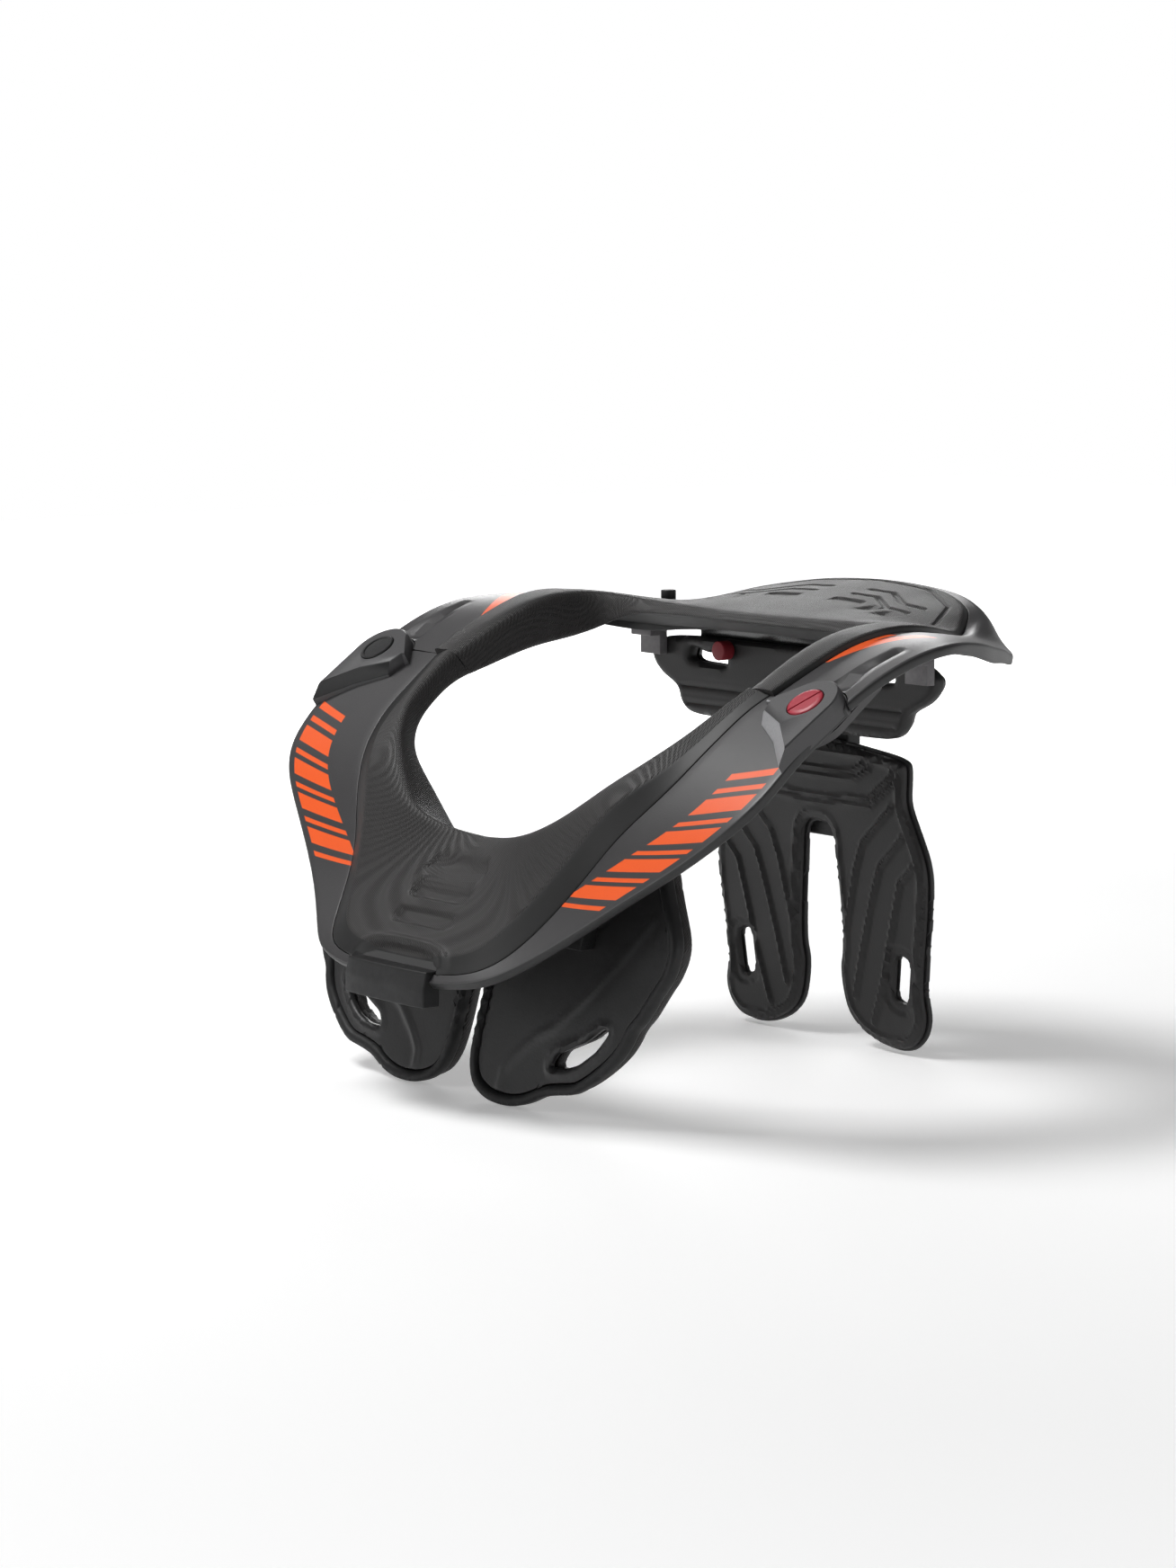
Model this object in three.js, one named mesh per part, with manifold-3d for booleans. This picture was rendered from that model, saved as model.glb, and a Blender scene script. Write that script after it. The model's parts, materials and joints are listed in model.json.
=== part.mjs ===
// Motocross neck brace: a hinged collar of two padded half tables that stands on two chest leaves
// and a two-legged back strut. Millimetres, +Z up, -Y to the wearer's chest, +X to the wearer's left.
// The origin is on the ground under the middle of the brace.
import * as THREE from 'three';
import Module from 'manifold-3d';

const wasm = await Module();
wasm.setup();

// Driving dimensions
const halfWidth = 148.5; // from the middle to the rim at its widest
const frontReach = 98; // from the hinge line to the front rim
const rearReach = 173.5; // from the hinge line to the rear rim
const hingeHeight = 155.4; // hinge buttons above the ground
const frontDrop = 105; // from the hinges down to the front rim
const rearRise = 32.6; // from the hinges up to the crown of the rear table
const gap = 0.35; // between pieces that touch
const shellWall = 4.2; // front and rear shell
const rearWall = 4; // rear table shell
const padDepth = 6.5; // foam over the shell beside its crest
const padSeat = 1; // step in the shell at the foot of the foam
const padStep = 2.4; // height of the foam's edge over the rear shell
const shoulderShare = 0.05; // place of that edge, from the foot to the crest
const crestSetback = 7; // from the crest of the foam back to the shell's inner edge
const rollBack = 5; // thickness of the foam roll below its crest
const crestSwell = 0.8; // rise of the foam outside its crest
const crestShare = 0.3; // place of that rise, from the crest to the shoulder
const rollSwell = 0.9; // swell of the foam inside its crest
const rollShare = 0.22; // place of that swell, from the crest to the inner edge

// Hinges
const hingeInset = 13.5; // button centre in from the widest point of the rim
const hingeHalfSpacing = halfWidth - hingeInset;
const hingeTilt = THREE.MathUtils.degToRad(34); // lean of the hinge axes to the chest
const hingeRadius = 14.2; // round end of the front arms
const hingeClearance = 0.5; // between the round end and its seat
const seamBack = 7; // straight seam behind the hinge line, across the inner part of the arm
const coverHeight = 5; // hinge cover over the shell
const coverReach = 24; // cover in front of the hinge line
const coverInset = 21; // cover inboard of the hinge line
const coverCorner = 1.32; // reach of its outer front corner, as a share of coverReach
const coverWaist = [0.86, 0.5]; // inner front corner, as shares of coverInset and coverReach
const coverSeat = 3; // cover below the shell's top
const coverMargin = 0.5; // cover in from the rim
const buttonRadius = 7.4;
const buttonProud = 0.7;
const buttonDepth = 2.8; // thickness of the button's head
const buttonStroke = 1.6;
const pinRadius = 2.8;
const pinClearance = 0.35;
const lugWall = 2.8; // lug of the rear arm under the front arm
const lugRadius = 11.5;
const hingeFloor = shellWall + 1.2; // depth of the flat underside round the hinge
const lugBack = 27; // lug behind the hinge line
const lugHalfWidth = 9;
const lugMargin = 2.6; // flat underside past the round end
const lugStep = 3; // rise of the lug where it joins the rear arm

// Front tab
const tabHalfWidth = 25.5;
const tabTop = 53.8;
const tabBottom = 40.1;
const tabDepth = 9;
const tabProud = 0.8; // face of the tab before the front rim
const tabChamfer = 1.5; // back of the tab's top edge from its face
const tabSlope = 4; // height over which the tab's face runs back
const tabFoot = 2; // height of the chamfer under the tab's face

// Chest leaves: width from the middle, height from the ground
const leafWidth = 113.5;
const leafHeight = 98;
const leafLean = 0.29; // run back per unit of height
const leafToe = -0.653 * frontReach; // toe of the leaf from the hinge line
const leafWall = 2.4;
const leafRimWidth = 4;
const leafRimDepth = 5.6;
const leafPadDepth = 5;
const leafPadInset = 1;
const bandOpen = 3; // points of the leaf's outline that the rim leaves open, under the front shell

// Back strut
const strutHeight = 125.5;
const strutHalfWidth = 66;
const strutPadWall = 3.2;
const strutPlateWall = 2.2;
const strutFace = 125.6; // front of the strut's foam at the ground, from the hinge line
const strutLean = -0.05; // run back per unit of height
const strutPadInset = 1.2;

// Saddle behind the shoulders
const saddleHalfWidth = 88;
const saddleBottom = 130.5;
const saddleHeight = 33;
const saddlePadWall = 7;
const saddlePlateWall = 3;
const saddleFace = 105; // front of the saddle's foam from the hinge line
const saddlePlateInset = 2;
const spineHalfWidth = 12.5; // post that carries the saddle and the strut
const spineWall = 7.5;
const spineBottom = 84;
const spineStepLow = 3; // where the post starts to step forward, over the strut
const spineStepTop = 8; // where it meets the saddle's plate
const adjusterRadius = 4;
const adjusterLength = 6;
const adjusterHalfSpacing = 36;
const pegRadius = 3.2;
const pegHeight = 5.4;
const pegRest = 0.64; // level of the table round the peg, as a share of rearRise
const adjusterLevel = 0.88; // level of the adjusters, as a share of saddleHeight
const reachAbove = 12; // room cut away over a piece
const reachBelow = 14; // room cut away under a piece

const stationsPerRow = 3;

// Each row is one section across the arm, from the hinge round to the middle.
// Shares: x of halfWidth, y of frontReach towards the chest, z of frontDrop down from the hinges.
const frontRows = [
  { inner: [0.605, -0.165, 0.03], crest: [0.635, -0.165, -0.1], edge: [0.685, -0.165, -0.095],
    foot: [0.725, -0.165, -0.08], rim: [0.995, -0.165, -0.095] },
  { inner: [0.605, -0.04, 0.065], crest: [0.63, -0.04, -0.05], edge: [0.665, -0.03, -0.045],
    foot: [0.695, -0.01, -0.01], rim: [1, 0, 0.005] },
  { inner: [0.58, 0.1, 0.14], crest: [0.61, 0.11, 0.04], edge: [0.645, 0.11, 0.055],
    foot: [0.685, 0.12, 0.08], rim: [1, 0.205, 0.135] },
  { inner: [0.555, 0.21, 0.215], crest: [0.59, 0.22, 0.11], edge: [0.635, 0.215, 0.13],
    foot: [0.68, 0.235, 0.16], rim: [1, 0.315, 0.235] },
  { inner: [0.49, 0.3, 0.305], crest: [0.53, 0.335, 0.2], edge: [0.615, 0.335, 0.21],
    foot: [0.655, 0.365, 0.28], rim: [0.975, 0.42, 0.33] },
  { inner: [0.395, 0.33, 0.39], crest: [0.45, 0.43, 0.29], edge: [0.56, 0.45, 0.295],
    foot: [0.605, 0.455, 0.38], rim: [0.91, 0.5, 0.43] },
  { inner: [0.305, 0.355, 0.48], crest: [0.36, 0.5, 0.395], edge: [0.505, 0.53, 0.39],
    foot: [0.555, 0.525, 0.475], rim: [0.815, 0.56, 0.535] },
  { inner: [0.22, 0.395, 0.545], crest: [0.27, 0.545, 0.465], edge: [0.45, 0.605, 0.53],
    foot: [0.495, 0.59, 0.61], rim: [0.685, 0.645, 0.66] },
  { inner: [0.155, 0.405, 0.615], crest: [0.18, 0.535, 0.5], edge: [0.385, 0.7, 0.685],
    foot: [0.445, 0.68, 0.74], rim: [0.56, 0.735, 0.79] },
  { inner: [0.09, 0.4, 0.64], crest: [0.1, 0.515, 0.52], edge: [0.33, 0.82, 0.825],
    foot: [0.385, 0.825, 0.895], rim: [0.44, 0.85, 0.915] },
  { inner: [0.04, 0.395, 0.655], crest: [0.045, 0.505, 0.525], edge: [0.25, 0.905, 0.915],
    foot: [0.295, 0.945, 0.975], rim: [0.33, 0.96, 1] },
  { inner: [0, 0.395, 0.655], crest: [0, 0.5, 0.53], edge: [0, 0.91, 0.93],
    foot: [0, 0.955, 0.99], rim: [0, 0.99, 1.02] },
];

// Shares: x of halfWidth, y of rearReach towards the back, z of rearRise up from the hinges.
const rearRows = [
  { inner: [0.605, -0.035, -0.275], crest: [0.625, -0.035, -0.03], foot: [0.7, -0.035, -0.105],
    shoulder: [0.795, -0.035, -0.115], brim: [0.895, -0.035, -0.125], rim: [1, -0.035, -0.135] },
  { inner: [0.605, 0.045, -0.18], crest: [0.635, 0.05, 0.2], foot: [0.725, 0.045, 0.13],
    shoulder: [0.815, 0.045, 0.155], brim: [0.9, 0.05, 0.17], rim: [0.995, 0.05, 0.18] },
  { inner: [0.595, 0.15, 0.005], crest: [0.625, 0.145, 0.48], foot: [0.73, 0.15, 0.405],
    shoulder: [0.82, 0.15, 0.435], brim: [0.91, 0.15, 0.45], rim: [1, 0.15, 0.45] },
  { inner: [0.595, 0.255, 0.17], crest: [0.625, 0.255, 0.725], foot: [0.735, 0.255, 0.645],
    shoulder: [0.83, 0.255, 0.665], brim: [0.915, 0.255, 0.665], rim: [1, 0.255, 0.64] },
  { inner: [0.605, 0.355, 0.22], crest: [0.63, 0.35, 0.815], foot: [0.76, 0.355, 0.765],
    shoulder: [0.835, 0.355, 0.765], brim: [0.91, 0.35, 0.75], rim: [0.985, 0.35, 0.695] },
  { inner: [0.605, 0.445, 0.31], crest: [0.64, 0.44, 0.81], foot: [0.74, 0.445, 0.735],
    shoulder: [0.8, 0.45, 0.73], brim: [0.86, 0.46, 0.7], rim: [0.915, 0.46, 0.655] },
  { inner: [0.565, 0.485, 0.45], crest: [0.595, 0.505, 0.77], foot: [0.7, 0.53, 0.665],
    shoulder: [0.74, 0.54, 0.67], brim: [0.79, 0.555, 0.64], rim: [0.835, 0.58, 0.57] },
  { inner: [0.49, 0.49, 0.555], crest: [0.51, 0.525, 0.74], foot: [0.64, 0.615, 0.585],
    shoulder: [0.665, 0.63, 0.605], brim: [0.705, 0.655, 0.56], rim: [0.74, 0.685, 0.46] },
  { inner: [0.39, 0.485, 0.57], crest: [0.41, 0.53, 0.73], foot: [0.565, 0.715, 0.51],
    shoulder: [0.585, 0.73, 0.565], brim: [0.62, 0.77, 0.465], rim: [0.65, 0.785, 0.385] },
  { inner: [0.305, 0.485, 0.58], crest: [0.325, 0.525, 0.725], foot: [0.51, 0.77, 0.62],
    shoulder: [0.52, 0.82, 0.645], brim: [0.55, 0.855, 0.395], rim: [0.575, 0.86, 0.265] },
  { inner: [0.23, 0.485, 0.585], crest: [0.25, 0.525, 0.72], foot: [0.445, 0.835, 0.75],
    shoulder: [0.47, 0.885, 0.645], brim: [0.495, 0.9, 0.375], rim: [0.53, 0.915, 0.24] },
  { inner: [0.17, 0.48, 0.585], crest: [0.185, 0.525, 0.715], foot: [0.365, 0.88, 0.83],
    shoulder: [0.405, 0.91, 0.805], brim: [0.42, 0.935, 0.415], rim: [0.435, 0.945, 0.22] },
  { inner: [0.11, 0.48, 0.585], crest: [0.12, 0.52, 0.71], foot: [0.255, 0.915, 0.91],
    shoulder: [0.295, 0.94, 0.92], brim: [0.305, 0.97, 0.465], rim: [0.31, 0.975, 0.21] },
  { inner: [0.055, 0.48, 0.585], crest: [0.06, 0.52, 0.71], foot: [0.13, 0.93, 0.95],
    shoulder: [0.15, 0.96, 0.98], brim: [0.15, 0.985, 0.495], rim: [0.155, 0.995, 0.2] },
  { inner: [0, 0.48, 0.585], crest: [0, 0.52, 0.71], foot: [0, 0.935, 0.965],
    shoulder: [0, 0.965, 1], brim: [0, 0.995, 0.51], rim: [0, 1, 0.2] },
];

// Outlines as shares of a width and a height, counter-clockwise from the inner top corner.
const leafOutline = [
  [0.05, 0.64], [0.048, 0.39], [0.048, 0.235], [0.062, 0.125], [0.105, 0.05], [0.18, 0.012],
  [0.255, 0], [0.34, 0.004], [0.42, 0.03], [0.487, 0.07], [0.57, 0.088], [0.642, 0.1],
  [0.7, 0.138], [0.772, 0.2], [0.825, 0.26], [0.854, 0.315], [0.868, 0.366], [0.907, 0.414],
  [0.948, 0.507], [0.984, 0.569], [1, 0.639], [0.997, 0.704], [0.969, 0.767], [0.922, 0.844],
  [0.882, 0.915], [0.84, 1], [0.72, 0.9], [0.5, 0.72], [0.25, 0.65],
];
const leafSlot = [
  [0.48, 0.18], [0.555, 0.183], [0.625, 0.21], [0.7, 0.273], [0.75, 0.355], [0.713, 0.363],
  [0.63, 0.294], [0.5, 0.23],
];
const strutOutline = [
  [0, 0.72], [0.09, 0.717], [0.135, 0.69], [0.15, 0.6], [0.19, 0.38], [0.19, 0.3], [0.165, 0.26],
  [0.175, 0.19], [0.22, 0.105], [0.33, 0.05], [0.5, 0.012], [0.68, 0], [0.82, 0.015],
  [0.92, 0.065], [0.955, 0.13], [0.92, 0.2], [0.94, 0.31], [0.985, 0.47], [1, 0.58],
  [0.975, 0.65], [0.89, 0.74], [0.815, 0.82], [0.83, 0.89], [0.835, 0.95], [0.78, 0.965],
  [0.68, 0.975], [0.3, 0.995], [0, 1],
];
const strutSlot = [[0.655, 0.175], [0.775, 0.16], [0.81, 0.31], [0.69, 0.325]];
const saddleOutline = [
  [0, 0], [0.5, 0], [0.68, 0.01], [0.745, 0.06], [0.785, 0.17], [0.8, 0.32], [0.85, 0.4],
  [0.92, 0.48], [0.975, 0.6], [1, 0.73], [0.985, 0.86], [0.9, 0.97], [0.7, 1], [0, 1],
];
const saddleSlot = [
  [0.44, 0.66], [0.68, 0.68], [0.735, 0.72], [0.715, 0.87], [0.67, 0.86], [0.6, 0.81], [0.44, 0.81],
];

const v3 = (x, y, z) => new THREE.Vector3(x, y, z);
const up = v3(0, 0, 1);
const mirrored = (p) => v3(-p.x, p.y, p.z);

const materials = {
  shell: new THREE.MeshStandardMaterial({ color: 0x3b3b3f, roughness: 0.42, metalness: 0.1 }),
  foam: new THREE.MeshStandardMaterial({ color: 0x2b2a2c, roughness: 0.85, metalness: 0 }),
  rubber: new THREE.MeshStandardMaterial({ color: 0x1c1c1e, roughness: 0.6, metalness: 0 }),
  plate: new THREE.MeshStandardMaterial({ color: 0x242326, roughness: 0.38, metalness: 0.15 }),
  cover: new THREE.MeshStandardMaterial({ color: 0x4a4a4e, roughness: 0.4, metalness: 0.2 }),
  red: new THREE.MeshStandardMaterial({ color: 0xa8283a, roughness: 0.4, metalness: 0.1 }),
  grey: new THREE.MeshStandardMaterial({ color: 0x9a9a9c, roughness: 0.4, metalness: 0.3 }),
};

// Points along rows with a smooth curve through each named column; the last row lies on the middle.
function smoothRows(rows, place) {
  const columns = Object.keys(rows[0]);
  const half = rows.map((row) => columns.map((name) => place(row[name])));
  const last = half.length - 1;
  const at = (i, c) => {
    if (i < 0) {
      return half[0][c].clone().multiplyScalar(2).sub(half[1][c]);
    }
    return i > last ? mirrored(half[2 * last - i][c]) : half[i][c];
  };
  const stations = [];
  for (let i = 0; i < last; i += 1) {
    for (let k = 0; k < stationsPerRow; k += 1) {
      const t = k / stationsPerRow;
      const station = {};
      columns.forEach((name, c) => {
        const [a, b, d, e] = [at(i - 1, c), at(i, c), at(i + 1, c), at(i + 2, c)];
        const blend = (p, q, r, s) => 0.5 * (2 * q + (r - p) * t
          + (2 * p - 5 * q + 4 * r - s) * t * t + (3 * q - p - 3 * r + s) * t ** 3);
        station[name] = v3(...['x', 'y', 'z'].map((axis) => blend(a[axis], b[axis], d[axis], e[axis])));
      });
      stations.push(station);
    }
  }
  stations.push(Object.fromEntries(columns.map((name, c) => [name, half[last][c]])));
  return stations;
}

// The outward normal of the arm's upper face at each station.
function addNormals(stations) {
  const middle = (s) => s.rim.clone().add(s.crest).multiplyScalar(0.5);
  stations.forEach((s, i) => {
    const before = stations[Math.max(i - 1, 0)];
    const after = stations[Math.min(i + 1, stations.length - 1)];
    const along = middle(after).sub(middle(before));
    if (i === stations.length - 1) {
      along.set(-1, 0, 0);
    }
    const across = s.rim.clone().sub(s.crest);
    s.up = along.cross(across).normalize();
    if (s.up.z < 0) {
      s.up.negate();
    }
    s.out = s.foot.clone().sub(s.crest).normalize();
  });
  return stations;
}

const down = (p, s, depth) => p.clone().addScaledVector(s.up, -depth);
const mix = (p, q, t) => p.clone().lerp(q, t);

// Inner edge of the shell under the foam's crest.
function shellEdge(s) {
  return down(s.crest, s, padDepth).addScaledVector(s.out, crestSetback);
}

// Closed polygon of the shell: over the top from the rim to the inner edge, then back underneath.
function shellSection(s, tops, wall) {
  const seat = down(s.foot, s, padSeat);
  const edge = shellEdge(s);
  const upper = [...tops, s.foot.clone(), seat, edge];
  const lower = [edge, s.foot, ...[...tops].reverse()].map((p) => down(p, s, wall));
  return [...upper, ...lower];
}

// Closed polygon of the foam: in along the shell, round the roll and out over its crest.
function padSection(s, shoulder, wall) {
  const inward = s.out.clone().multiplyScalar(-gap);
  const edge = shellEdge(s);
  const foot = s.foot.clone().add(inward);
  const seat = down(s.foot, s, padSeat - gap).add(inward);
  const edgeTop = down(edge, s, -gap).add(inward);
  const edgeBottom = down(edge, s, wall).add(inward);
  const side = v3(s.out.x, s.out.y, 0).normalize();
  const rollEnd = s.inner.clone().addScaledVector(side, rollBack);
  const crestOut = mix(s.crest, shoulder, crestShare).addScaledVector(s.up, crestSwell);
  const crestIn = mix(s.crest, s.inner, rollShare).addScaledVector(side, -rollSwell);
  return [seat, edgeTop, edgeBottom, rollEnd, s.inner, crestIn, s.crest, crestOut, shoulder, foot];
}

// A closed body through half of the sections and their mirror images.
function loftBothSides(half) {
  const sections = [...half, ...half.slice(0, -1).reverse().map((section) => section.map(mirrored))];
  return loft(sections);
}

function loft(sections) {
  const count = sections[0].length;
  const positions = sections.flat().flatMap((p) => [p.x, p.y, p.z]);
  const index = [];
  for (let i = 0; i < sections.length - 1; i += 1) {
    for (let k = 0; k < count; k += 1) {
      const next = (k + 1) % count;
      const [a, b, c, d] = [i * count + k, i * count + next, (i + 1) * count + k, (i + 1) * count + next];
      index.push(a, b, c, b, d, c);
    }
  }
  for (const triangle of capTriangles(sections[0])) {
    index.push(triangle[0], triangle[2], triangle[1]);
  }
  const base = (sections.length - 1) * count;
  for (const triangle of capTriangles(sections[sections.length - 1])) {
    index.push(base + triangle[0], base + triangle[1], base + triangle[2]);
  }
  return outward(positions, index);
}

// Triangles of a nearly flat polygon, turned the way the polygon runs.
function capTriangles(polygon) {
  const normal = v3(0, 0, 0);
  polygon.forEach((p, i) => {
    normal.add(p.clone().cross(polygon[(i + 1) % polygon.length]));
  });
  const u = polygon[0].clone().sub(polygon[Math.floor(polygon.length / 2)]).normalize();
  const v = normal.normalize().clone().cross(u);
  const flat = polygon.map((p) => new THREE.Vector2(p.dot(u), p.dot(v)));
  return THREE.ShapeUtils.triangulateShape(flat, []);
}

// A solid from points and triangles, with its faces turned out.
function outward(positions, index) {
  let volume = 0;
  const at = (i) => v3(positions[3 * i], positions[3 * i + 1], positions[3 * i + 2]);
  for (let i = 0; i < index.length; i += 3) {
    volume += at(index[i]).dot(at(index[i + 1]).cross(at(index[i + 2])));
  }
  const turned = (_, i) => index[3 * Math.floor(i / 3) + 2 - (i % 3)];
  const triangles = volume > 0 ? index : index.map(turned);
  return new wasm.Manifold(new wasm.Mesh({
    numProp: 3,
    vertProperties: new Float32Array(positions),
    triVerts: new Uint32Array(triangles),
  }));
}

// A flat outline with holes, given a thickness; place() puts a point of the outline at each face.
function sheet(outline, holes, place) {
  const rings = [outline, ...holes];
  const flat = rings.flat();
  const faces = THREE.ShapeUtils.triangulateShape(outline, holes);
  const positions = [0, 1].flatMap((side) => flat.flatMap((p) => place(p, side).toArray()));
  const count = flat.length;
  const index = [];
  for (const [a, b, c] of faces) {
    index.push(a, b, c, a + count, c + count, b + count);
  }
  let start = 0;
  for (const ring of rings) {
    ring.forEach((_, i) => {
      const a = start + i;
      const b = start + ((i + 1) % ring.length);
      index.push(a, b + count, b, a, a + count, b + count);
    });
    start += ring.length;
  }
  return outward(positions, index);
}

// Outline points from a table of shares, counter-clockwise; sign mirrors it.
function outlinePoints(shares, width, height, sign = 1) {
  const points = shares.map(([x, z]) => new THREE.Vector2(sign * x * width, z * height));
  return THREE.ShapeUtils.isClockWise(points) ? points.reverse() : points;
}

const clockwise = (points) => (THREE.ShapeUtils.isClockWise(points) ? points : [...points].reverse());

// The outline moved inwards by a distance.
function inset(points, distance) {
  return points.map((p, i) => {
    const before = points[(i + points.length - 1) % points.length];
    const after = points[(i + 1) % points.length];
    const inA = p.clone().sub(before).normalize();
    const inB = after.clone().sub(p).normalize();
    const normal = new THREE.Vector2(-inA.y - inB.y, inA.x + inB.x).normalize();
    const lean = Math.max(normal.dot(new THREE.Vector2(-inA.y, inA.x)), 0.5);
    return p.clone().addScaledVector(normal, distance / lean);
  });
}

// The band between an outline and its inset, left open along the outline's last points.
function edgeBand(outline, inner, sign) {
  const low = sign > 0 ? 0 : bandOpen;
  const high = outline.length - (sign > 0 ? bandOpen : 0);
  return [...outline.slice(low, high), ...inner.slice(low, high).reverse()];
}

// The part of a solid that holds its lowest point, and the part that holds its highest.
const bottomOf = (body) => body.boundingBox().min[2];
const topOf = (body) => body.boundingBox().max[2];
const lowest = (body) => body.decompose().sort((a, b) => bottomOf(a) - bottomOf(b))[0];
const highest = (body) => body.decompose().sort((a, b) => topOf(b) - topOf(a))[0];

// A geometry class's shape as a solid.
function solid(geometry, matrix = new THREE.Matrix4()) {
  const flat = geometry.index ? geometry.toNonIndexed() : geometry;
  const array = flat.attributes.position.array;
  const seen = new Map();
  const positions = [];
  const index = [];
  const p = v3(0, 0, 0);
  for (let i = 0; i < array.length; i += 3) {
    p.fromArray(array, i).applyMatrix4(matrix);
    const key = p.toArray().map((c) => Math.round(c * 1e4)).join();
    if (!seen.has(key)) {
      seen.set(key, positions.length / 3);
      positions.push(p.x, p.y, p.z);
    }
    index.push(seen.get(key));
  }
  const kept = [];
  for (let i = 0; i < index.length; i += 3) {
    const [a, b, c] = index.slice(i, i + 3);
    if (a !== b && b !== c && c !== a) {
      kept.push(a, b, c);
    }
  }
  return outward(positions, kept);
}

function toMesh(name, body, material, origin = v3(0, 0, 0)) {
  const mesh = body.translate([-origin.x, -origin.y, -origin.z]).getMesh();
  const geometry = new THREE.BufferGeometry();
  geometry.setAttribute('position', new THREE.BufferAttribute(new Float32Array(mesh.vertProperties), 3));
  geometry.setIndex(new THREE.BufferAttribute(new Uint32Array(mesh.triVerts), 1));
  geometry.computeVertexNormals();
  const part = new THREE.Mesh(geometry, material);
  part.name = name;
  part.position.copy(origin);
  return part;
}

const mirrorSolid = (body) => body.mirror([1, 0, 0]);

// Hinge frame on one side: local x across, y back along the arm, z along the hinge axis.
function hingeMatrix(sign) {
  const axis = v3(0, -Math.sin(hingeTilt), Math.cos(hingeTilt));
  const back = v3(0, Math.cos(hingeTilt), Math.sin(hingeTilt));
  const matrix = new THREE.Matrix4().makeBasis(v3(1, 0, 0), back, axis);
  return matrix.setPosition(sign * hingeHalfSpacing, 0, hingeHeight);
}

// A round bar along the hinge axis between two depths.
function hingeBar(sign, radius, bottom, top, sides = 32) {
  const bar = new THREE.CylinderGeometry(radius, radius, top - bottom, sides).rotateX(Math.PI / 2);
  bar.translate(0, 0, (top + bottom) / 2);
  return solid(bar, hingeMatrix(sign));
}

// A box in the hinge frame between two corners.
function hingeBox(sign, low, high) {
  const box = new THREE.BoxGeometry(high.x - low.x, high.y - low.y, high.z - low.z);
  box.translate((high.x + low.x) / 2, (high.y + low.y) / 2, (high.z + low.z) / 2);
  return solid(box, hingeMatrix(sign));
}

const far = 40; // reach of the cutting blocks past the arm
const hingeDirection = v3(0, -Math.sin(hingeTilt), Math.cos(hingeTilt));

// What the front arm gives up behind its seam on one side. Its round end stays, and outboard of the
// hinge line nothing stays past it, so that the arm turns in its seat.
function behindSeam(sign) {
  const inboard = hingeHalfSpacing;
  const block = hingeBox(sign, v3(-inboard, seamBack, -far), v3(inboard, 2 * far, far));
  const outboard = [0, sign * far];
  const corner = hingeBox(
    sign, v3(Math.min(...outboard), 0, -far), v3(Math.max(...outboard), 2 * far, far));
  return block.add(corner).subtract(hingeBar(sign, hingeRadius, -far - 1, far + 1, 40));
}

// What the rear arm gives up before its seam on one side, with the seat of the round end.
function beforeSeam(sign) {
  const inboard = hingeHalfSpacing;
  const block = hingeBox(sign, v3(-inboard, -2 * far, -far), v3(inboard, seamBack + hingeClearance, far));
  return block.add(hingeBar(sign, hingeRadius + hingeClearance, -far, far, 40));
}

// Space taken by a body and everything on one side of it along a direction.
function swept(body, direction, from, to, step) {
  let result = body.translate(direction.clone().multiplyScalar(from).toArray());
  const copies = Math.ceil((to - from) / step);
  for (let i = 1; i <= copies; i += 1) {
    result = result.add(body.translate(direction.clone().multiplyScalar(from + i * step).toArray()));
  }
  return result;
}

// Room for a body with the gap round it, and everything over or under it out to a distance.
function room(body, direction, distance) {
  let result = swept(body, direction, distance > 0 ? -gap : gap, distance, Math.sign(distance));
  for (const [x, y] of [[1, 0], [-1, 0], [0, 1], [0, -1]]) {
    result = result.add(body.translate([x * gap, y * gap, 0]));
  }
  return result;
}

// Front half
const placeFront = ([x, y, z]) => v3(x * halfWidth, -y * frontReach, hingeHeight - z * frontDrop);
const frontStations = addNormals(smoothRows(frontRows, placeFront));
let frontShell = loftBothSides(frontStations.map((s) => shellSection(s, [s.rim.clone()], shellWall)));
let frontPad = loftBothSides(frontStations.map((s) => padSection(s, s.edge, shellWall)));

// Rear half
const placeRear = ([x, y, z]) => v3(x * halfWidth, y * rearReach, hingeHeight + z * rearRise);
const rearStations = addNormals(smoothRows(rearRows, placeRear));
let rearShell = loftBothSides(rearStations.map((s) => (
  shellSection(s, [s.rim.clone(), s.brim.clone(), s.shoulder.clone()], rearWall))));
let rearPad = loftBothSides(rearStations.map((s) => {
  const shoulder = mix(s.foot, s.crest, shoulderShare).addScaledVector(s.up, padStep);
  return padSection(s, shoulder, rearWall);
}));

// Tab that closes the middle of the front rim
const tabFace = -frontReach - tabProud;
const tabShape = new THREE.Shape([
  new THREE.Vector2(tabFace + tabChamfer, tabTop),
  new THREE.Vector2(tabFace + tabDepth, tabTop),
  new THREE.Vector2(tabFace + tabDepth, tabBottom),
  new THREE.Vector2(tabFace + tabFoot / 2, tabBottom),
  new THREE.Vector2(tabFace, tabBottom + tabFoot),
  new THREE.Vector2(tabFace, tabTop - tabSlope),
]);
function tabSolid(grow) {
  const depth = 2 * (tabHalfWidth + grow);
  const geometry = new THREE.ExtrudeGeometry(tabShape, { depth, bevelEnabled: false });
  const turn = new THREE.Matrix4().makeBasis(v3(0, 1, 0), v3(0, 0, 1), v3(1, 0, 0));
  return solid(geometry, turn.setPosition(-tabHalfWidth - grow, 0, 0));
}
const frontTab = tabSolid(0);
const tabSpace = tabSolid(gap);
const tabRoom = tabSpace
  .add(tabSpace.translate([0, gap, gap]))
  .add(tabSpace.translate([0, gap, -gap]));
frontShell = frontShell.subtract(tabRoom);
frontPad = frontPad.subtract(tabRoom);

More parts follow.
